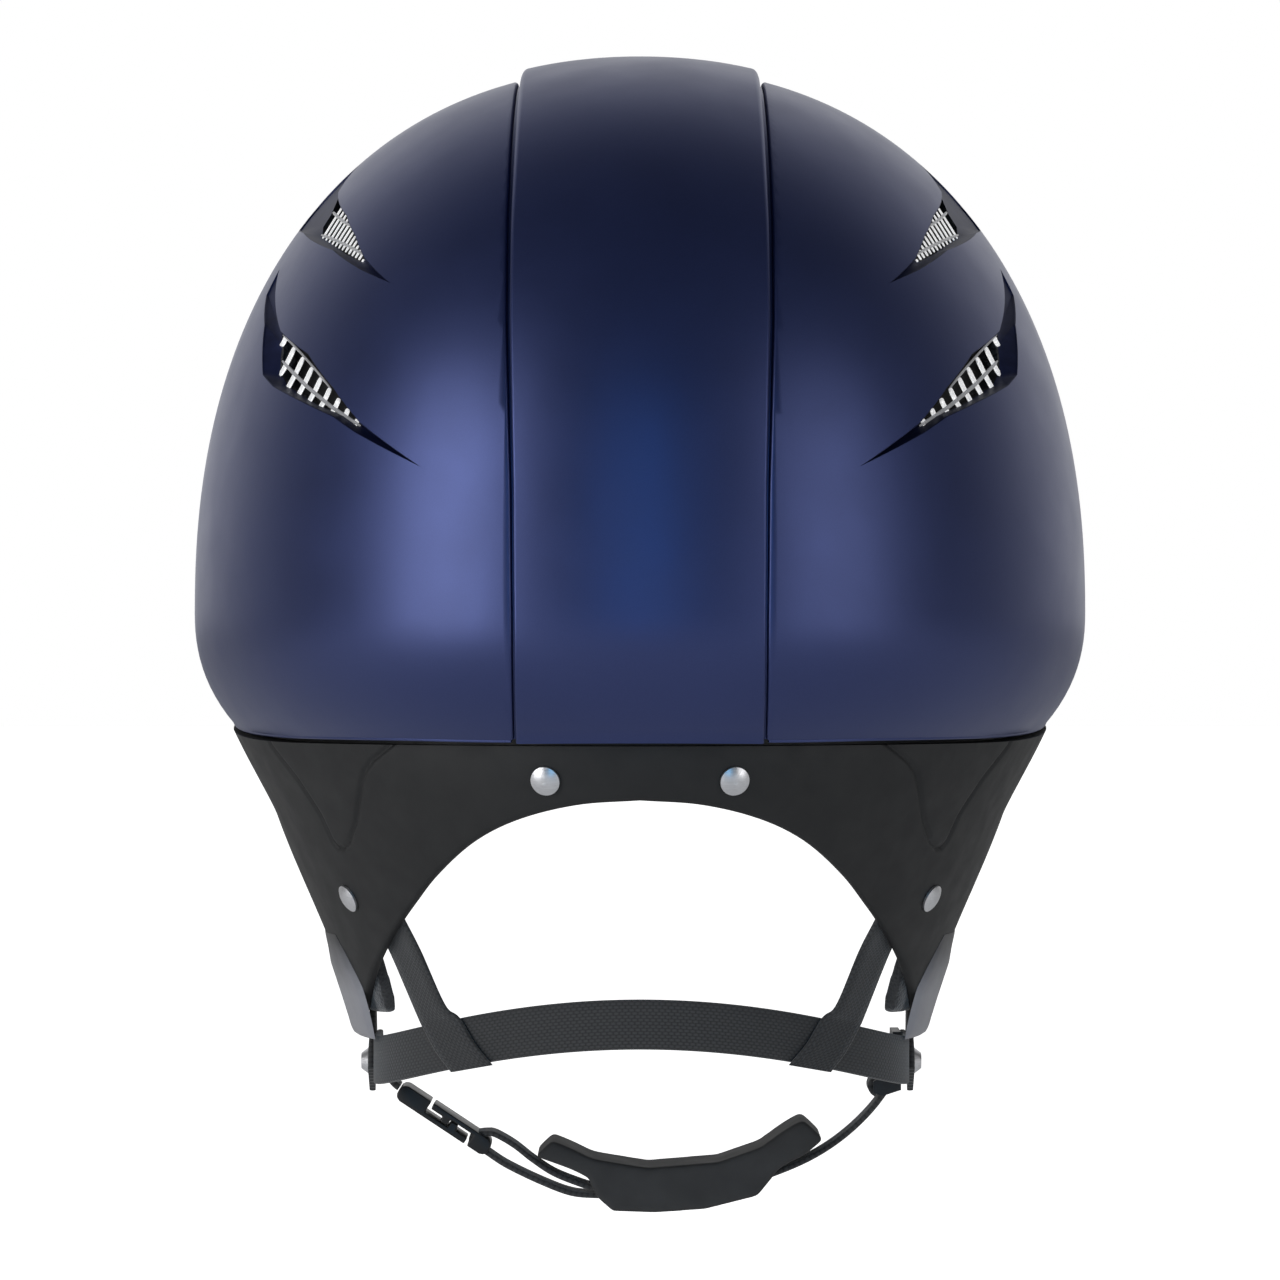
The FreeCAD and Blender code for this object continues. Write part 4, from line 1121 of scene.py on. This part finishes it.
def build_chin_strap():
    """One webbing: up the tail, through the hook, back through the pad and round the slide's bar."""
    radius, tail, loop, last_turn = 88, 89.6, 2.16, 25
    points = [arc_point(turn, tail) for turn in np.linspace(-3, -8.5, 6)]
    bend = [(x, 0, z) for x, z in TAIL_STRAND + UPPER_STRAND]
    arcs = [arc_point(turn, radius) for turn in np.linspace(-11, last_turn, 40)[:-1]]
    points += list(smooth_path(points[-1:] + bend + arcs[:1], 110)[1:-1])
    points += arcs
    aim = heading(56.4)
    end = SLIDE_BAR + np.array([aim[2], 0, -aim[0]]) * loop
    points += [hermite(arc_point(last_turn, radius), heading(last_turn) * 28, end, aim * 28, share)
               for share in np.linspace(0, 1, 24)[:-1]]
    points += [SLIDE_BAR + heading(turn) * loop for turn in np.linspace(-33.6, 250, 26)]
    flat_strap("chin_strap_webbing", points, CHIN_THICK, "strap_body", ["chin_strap"])


def hook_outline(length):
    """A J hook along and across the buckle, from the middle where the two engage."""
    return [(-length, -0.9), (0.5 - length, -1.8), (1.6 - length, -2.25), (6.0, -2.25), (6.0, -0.6),
            (2.4, -0.6), (2.2, 0.85), (0.35, 0.85), (0.15, -1.0), (-6.9, -1.0), (-6.9, 2.25),
            (1.6 - length, 2.25), (0.5 - length, 1.8), (-length, 0.9)]


def build_buckle():
    """Two engaged J hooks, turned half round from each other."""
    low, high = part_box("buckle_hook_left")
    half = (high[1] - low[1]) / MM / 2
    for name, body, sign, length in (("left", "chin_tab_body", 1, 15.5), ("right", "strap_body", -1, 12.3)):
        outline = [(1.6 + sign * u, sign * v) for u, v in hook_outline(length)]
        flat = [in_buckle(u, v - 0.75) for u, v in outline]
        verts = [(x, y, z) for y in (-half, half) for x, _, z in flat]
        count = len(outline)
        faces = [tuple(range(count)), tuple(range(2 * count - 1, count - 1, -1))]
        for step in range(count):
            after = (step + 1) % count
            faces.append((after, step, step + count, after + count))
        piece = make(f"hook_{name}", verts, faces, BUCKLE, sharp=180)
        face_outward(piece.data)
        bevelled(piece, 0.35, 30)
        applied(piece)
        piece.data.set_sharp_from_angle(angle=math.radians(50))
        enter(piece, body, [f"buckle_hook_{name}"])


# ---- padded and soft pieces --------------------------------------------------------------------


def thin_pad(points):
    """Draws an ear pad's inner face out towards the cradle."""
    wide, long = cradle_level(points[:, 2])
    angle = np.arctan2(points[:, 0] / wide, -points[:, 1] / long)
    inset = wide - np.hypot(points[:, 0] / wide, points[:, 1] / long) * wide
    extra = np.maximum(inset - 2.6, 0) * 0.45
    points[:, 0] += extra * np.sin(angle)
    points[:, 1] -= extra * np.cos(angle)
    return points


def padded_copy(node, name, voxel, pressure, cap, shrink, reshape=None):
    """The node's solid remeshed, drawn in a little and blown up as cloth."""
    piece = remeshed(node, name, voxel)
    mesh, frames = piece.data, 20
    if reshape:
        write_points(mesh, reshape(read_points(mesh) / MM) * MM)
    start = read_points(mesh) - read_points(mesh, "normal") * shrink * MM
    write_points(mesh, start)
    cloth = piece.modifiers.new("cloth", "CLOTH")
    cloth.settings.use_pressure = True
    cloth.settings.uniform_pressure_force = pressure
    cloth.settings.effector_weights.gravity = 0
    cloth.settings.quality = 5
    cloth.point_cache.frame_start, cloth.point_cache.frame_end = 1, frames
    for step in range(1, frames + 1):
        bpy.context.scene.frame_set(step)
    graph = bpy.context.evaluated_depsgraph_get()
    shift = read_points(piece.evaluated_get(graph).data) - start
    length = np.linalg.norm(shift, axis=1, keepdims=True)
    shift *= np.minimum(1, cap * MM / np.maximum(length, 1e-9))
    piece.modifiers.clear()
    write_points(mesh, start + shift)
    bpy.context.scene.frame_set(1)
    smooth = piece.modifiers.new("smooth", "SUBSURF")
    smooth.levels = smooth.render_levels = 1
    return applied(piece)


def off_line(value, pitch):
    """Distance to the nearest of a set of lines a pitch apart, the first at zero."""
    return np.abs((value + pitch / 2) % pitch - pitch / 2)


def press_channels(piece, distance):
    """Presses sewn channels into a padded piece, where distance(points) is small."""
    mesh = piece.data
    points, normals = read_points(mesh), read_points(mesh, "normal")
    depth = 0.9 * np.exp(-((distance(points / MM) / 1.6) ** 2))
    write_points(mesh, points - normals * depth[:, None] * MM)


def band_channels(points):
    """Distance to the headband's upright channels, one every 18 degrees."""
    turn = np.degrees(np.arctan2(points[:, 0], points[:, 1] / RATIO))
    return off_line(turn, 18) * math.radians(1) * 80


def crown_channels(points):
    """Distance to the crown pad's square quilting."""
    return np.minimum(off_line(points[:, 0], 22), off_line(points[:, 1], 22))


def build_lining():
    pieces = {node: padded_copy(node, name, 3.0, 3, 0.5, 0.4)
              for node, name in (("headband", "headband_padding"), ("crown_pad", "crown_padding"))}
    press_channels(pieces["headband"], band_channels)
    press_channels(pieces["crown_pad"], crown_channels)
    for name in SIDES:
        node = f"ear_pad_{name}"
        pieces[node] = padded_copy(node, f"ear_padding_{name}", 1.6, 4, 0.4, 0.3, thin_pad)
    for node, piece in pieces.items():
        finish_mesh(piece.data, LINING, 180)
        enter(piece, "helmet", [node])


def build_chin_pad():
    """Soft moulded sleeve with its edges rounded off, swollen a little near each end."""
    piece = remeshed("chin_pad", "chin_pad_sleeve", 0.7, rounding=9)
    points, reach = read_points(piece.data), 13 * MM
    for x, z in ((-21.6, -107.6), (41.8, -103.6)):
        away = points[:, (0, 2)] - np.array([x, z]) * MM
        share = np.clip(1 - np.linalg.norm(away, axis=1) / reach, 0, 1)
        away[:, 1] = np.maximum(away[:, 1], 0)
        points[:, (0, 2)] += away * 0.36 * ease(share)[:, None]
    write_points(piece.data, points)
    finish_mesh(piece.data, PAD, 180)
    enter(piece, "pad_body", ["chin_pad"])


# ---- CAD nodes that keep their shape -------------------------------------------------------------


def dress(node, material, bevel=0.0):
    """Gives a CAD node its finish and, at render time, rounded edges."""
    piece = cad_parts[node]
    for place in piece.material_slots:
        place.material = material
    if bevel:
        bevelled(piece, bevel, 40).harden_normals = True


dress("peak", NAVY, 0.6)
dress("impact_liner", FOAM)
dress("cradle_rivets", STEEL)
dress("slide_adjuster_right", BUCKLE, 0.4)
for hand in SIDES:
    dress(f"harness_rivet_{hand}", STEEL, 0.25)

build_shell()
build_panel()
build_grilles()
build_cradle()
build_ear_covers()
build_nape_band()
build_front_straps()
build_rear_straps()
build_chin_tab()
build_buckle()
build_chin_strap()
build_lining()
build_chin_pad()

# ---- floor and light -----------------------------------------------------------------------------


def stage_floor():
    """A pale floor that reads as white, and is clear from below."""
    wide, low = 20, -0.3
    mesh = bpy.data.meshes.new("floor")
    mesh.from_pydata([(-wide, -wide, low), (wide, -wide, low), (wide, wide, low), (-wide, wide, low)], [],
                     [(0, 1, 2, 3)])
    floor = link("floor", mesh)
    shade = Shade("floor_white", Roughness=0.9, Base_Color=(0.9, 0.9, 0.9, 1), Emission_Color=(1, 1, 1, 1))
    seen = shade.nodes.new("ShaderNodeLightPath").outputs["Is Camera Ray"]
    shade.set("Emission Strength", shade.span(seen, 0, 1, 0.13, 1))
    clear, mix = shade.nodes.new("ShaderNodeBsdfTransparent"), shade.nodes.new("ShaderNodeMixShader")
    below = shade.nodes.new("ShaderNodeNewGeometry").outputs["Backfacing"]
    for source, socket in ((below, 0), (shade.surface.outputs[0], 1), (clear.outputs[0], 2)):
        shade.links.new(source, mix.inputs[socket])
    shade.links.new(mix.outputs[0], shade.nodes["Material Output"].inputs["Surface"])
    mesh.materials.append(shade.material)


def softbox(name, azimuth, elevation, distance, wide, tall, power, tint=(1, 1, 1)):
    """A soft area light that faces the helmet; azimuth 0 is behind the camera, positive to the left."""
    light = bpy.data.lights.new(name, "AREA")
    light.shape, light.size, light.size_y = "RECTANGLE", wide, tall
    light.energy, light.color = power, tint
    lamp = link(name, light)
    a, e = math.radians(azimuth), math.radians(elevation)
    spot = Vector((-math.sin(a) * math.cos(e), -math.cos(a) * math.cos(e), math.sin(e))) * distance
    lamp.location = spot + Vector((0, 0, 0.03))
    lamp.rotation_euler = (-spot).to_track_quat("-Z", "Y").to_euler()
    lamp.visible_camera = False


def studio_world():
    """White where the camera sees it; as light it is brighter from the wearer's front."""
    world = bpy.data.worlds.new("studio")
    bpy.context.scene.world = world
    world.use_nodes = True
    nodes, links = world.node_tree.nodes, world.node_tree.links
    nodes.clear()
    output = nodes.new("ShaderNodeOutputWorld")
    seen, lit = nodes.new("ShaderNodeBackground"), nodes.new("ShaderNodeBackground")
    seen.inputs["Strength"].default_value = 1.0
    seen.inputs["Color"].default_value = (1, 1, 1, 1)
    place = nodes.new("ShaderNodeTexCoord")
    parts = nodes.new("ShaderNodeSeparateXYZ")
    ramp = nodes.new("ShaderNodeMapRange")
    ramp.interpolation_type = "SMOOTHSTEP"
    for key, value in (("From Min", 0.1), ("From Max", 1.0), ("To Min", 0.07), ("To Max", 1.1)):
        ramp.inputs[key].default_value = value
    links.new(place.outputs["Generated"], parts.inputs[0])
    links.new(parts.outputs["Y"], ramp.inputs["Value"])
    links.new(ramp.outputs["Result"], lit.inputs["Strength"])
    path, mix = nodes.new("ShaderNodeLightPath"), nodes.new("ShaderNodeMixShader")
    links.new(path.outputs["Is Camera Ray"], mix.inputs[0])
    links.new(lit.outputs[0], mix.inputs[1])
    links.new(seen.outputs[0], mix.inputs[2])
    links.new(mix.outputs[0], output.inputs["Surface"])


stage_floor()
studio_world()
softbox("left_strip", 54, 10, 2.2, 1.05, 1.7, 25)
softbox("right_strip", -54, 10, 2.2, 1.05, 1.7, 11)
softbox("centre_panel", 0, 10, 2.6, 0.8, 1.9, 7.5, (0.2, 0.58, 1))

bpy.context.view_layer.update()
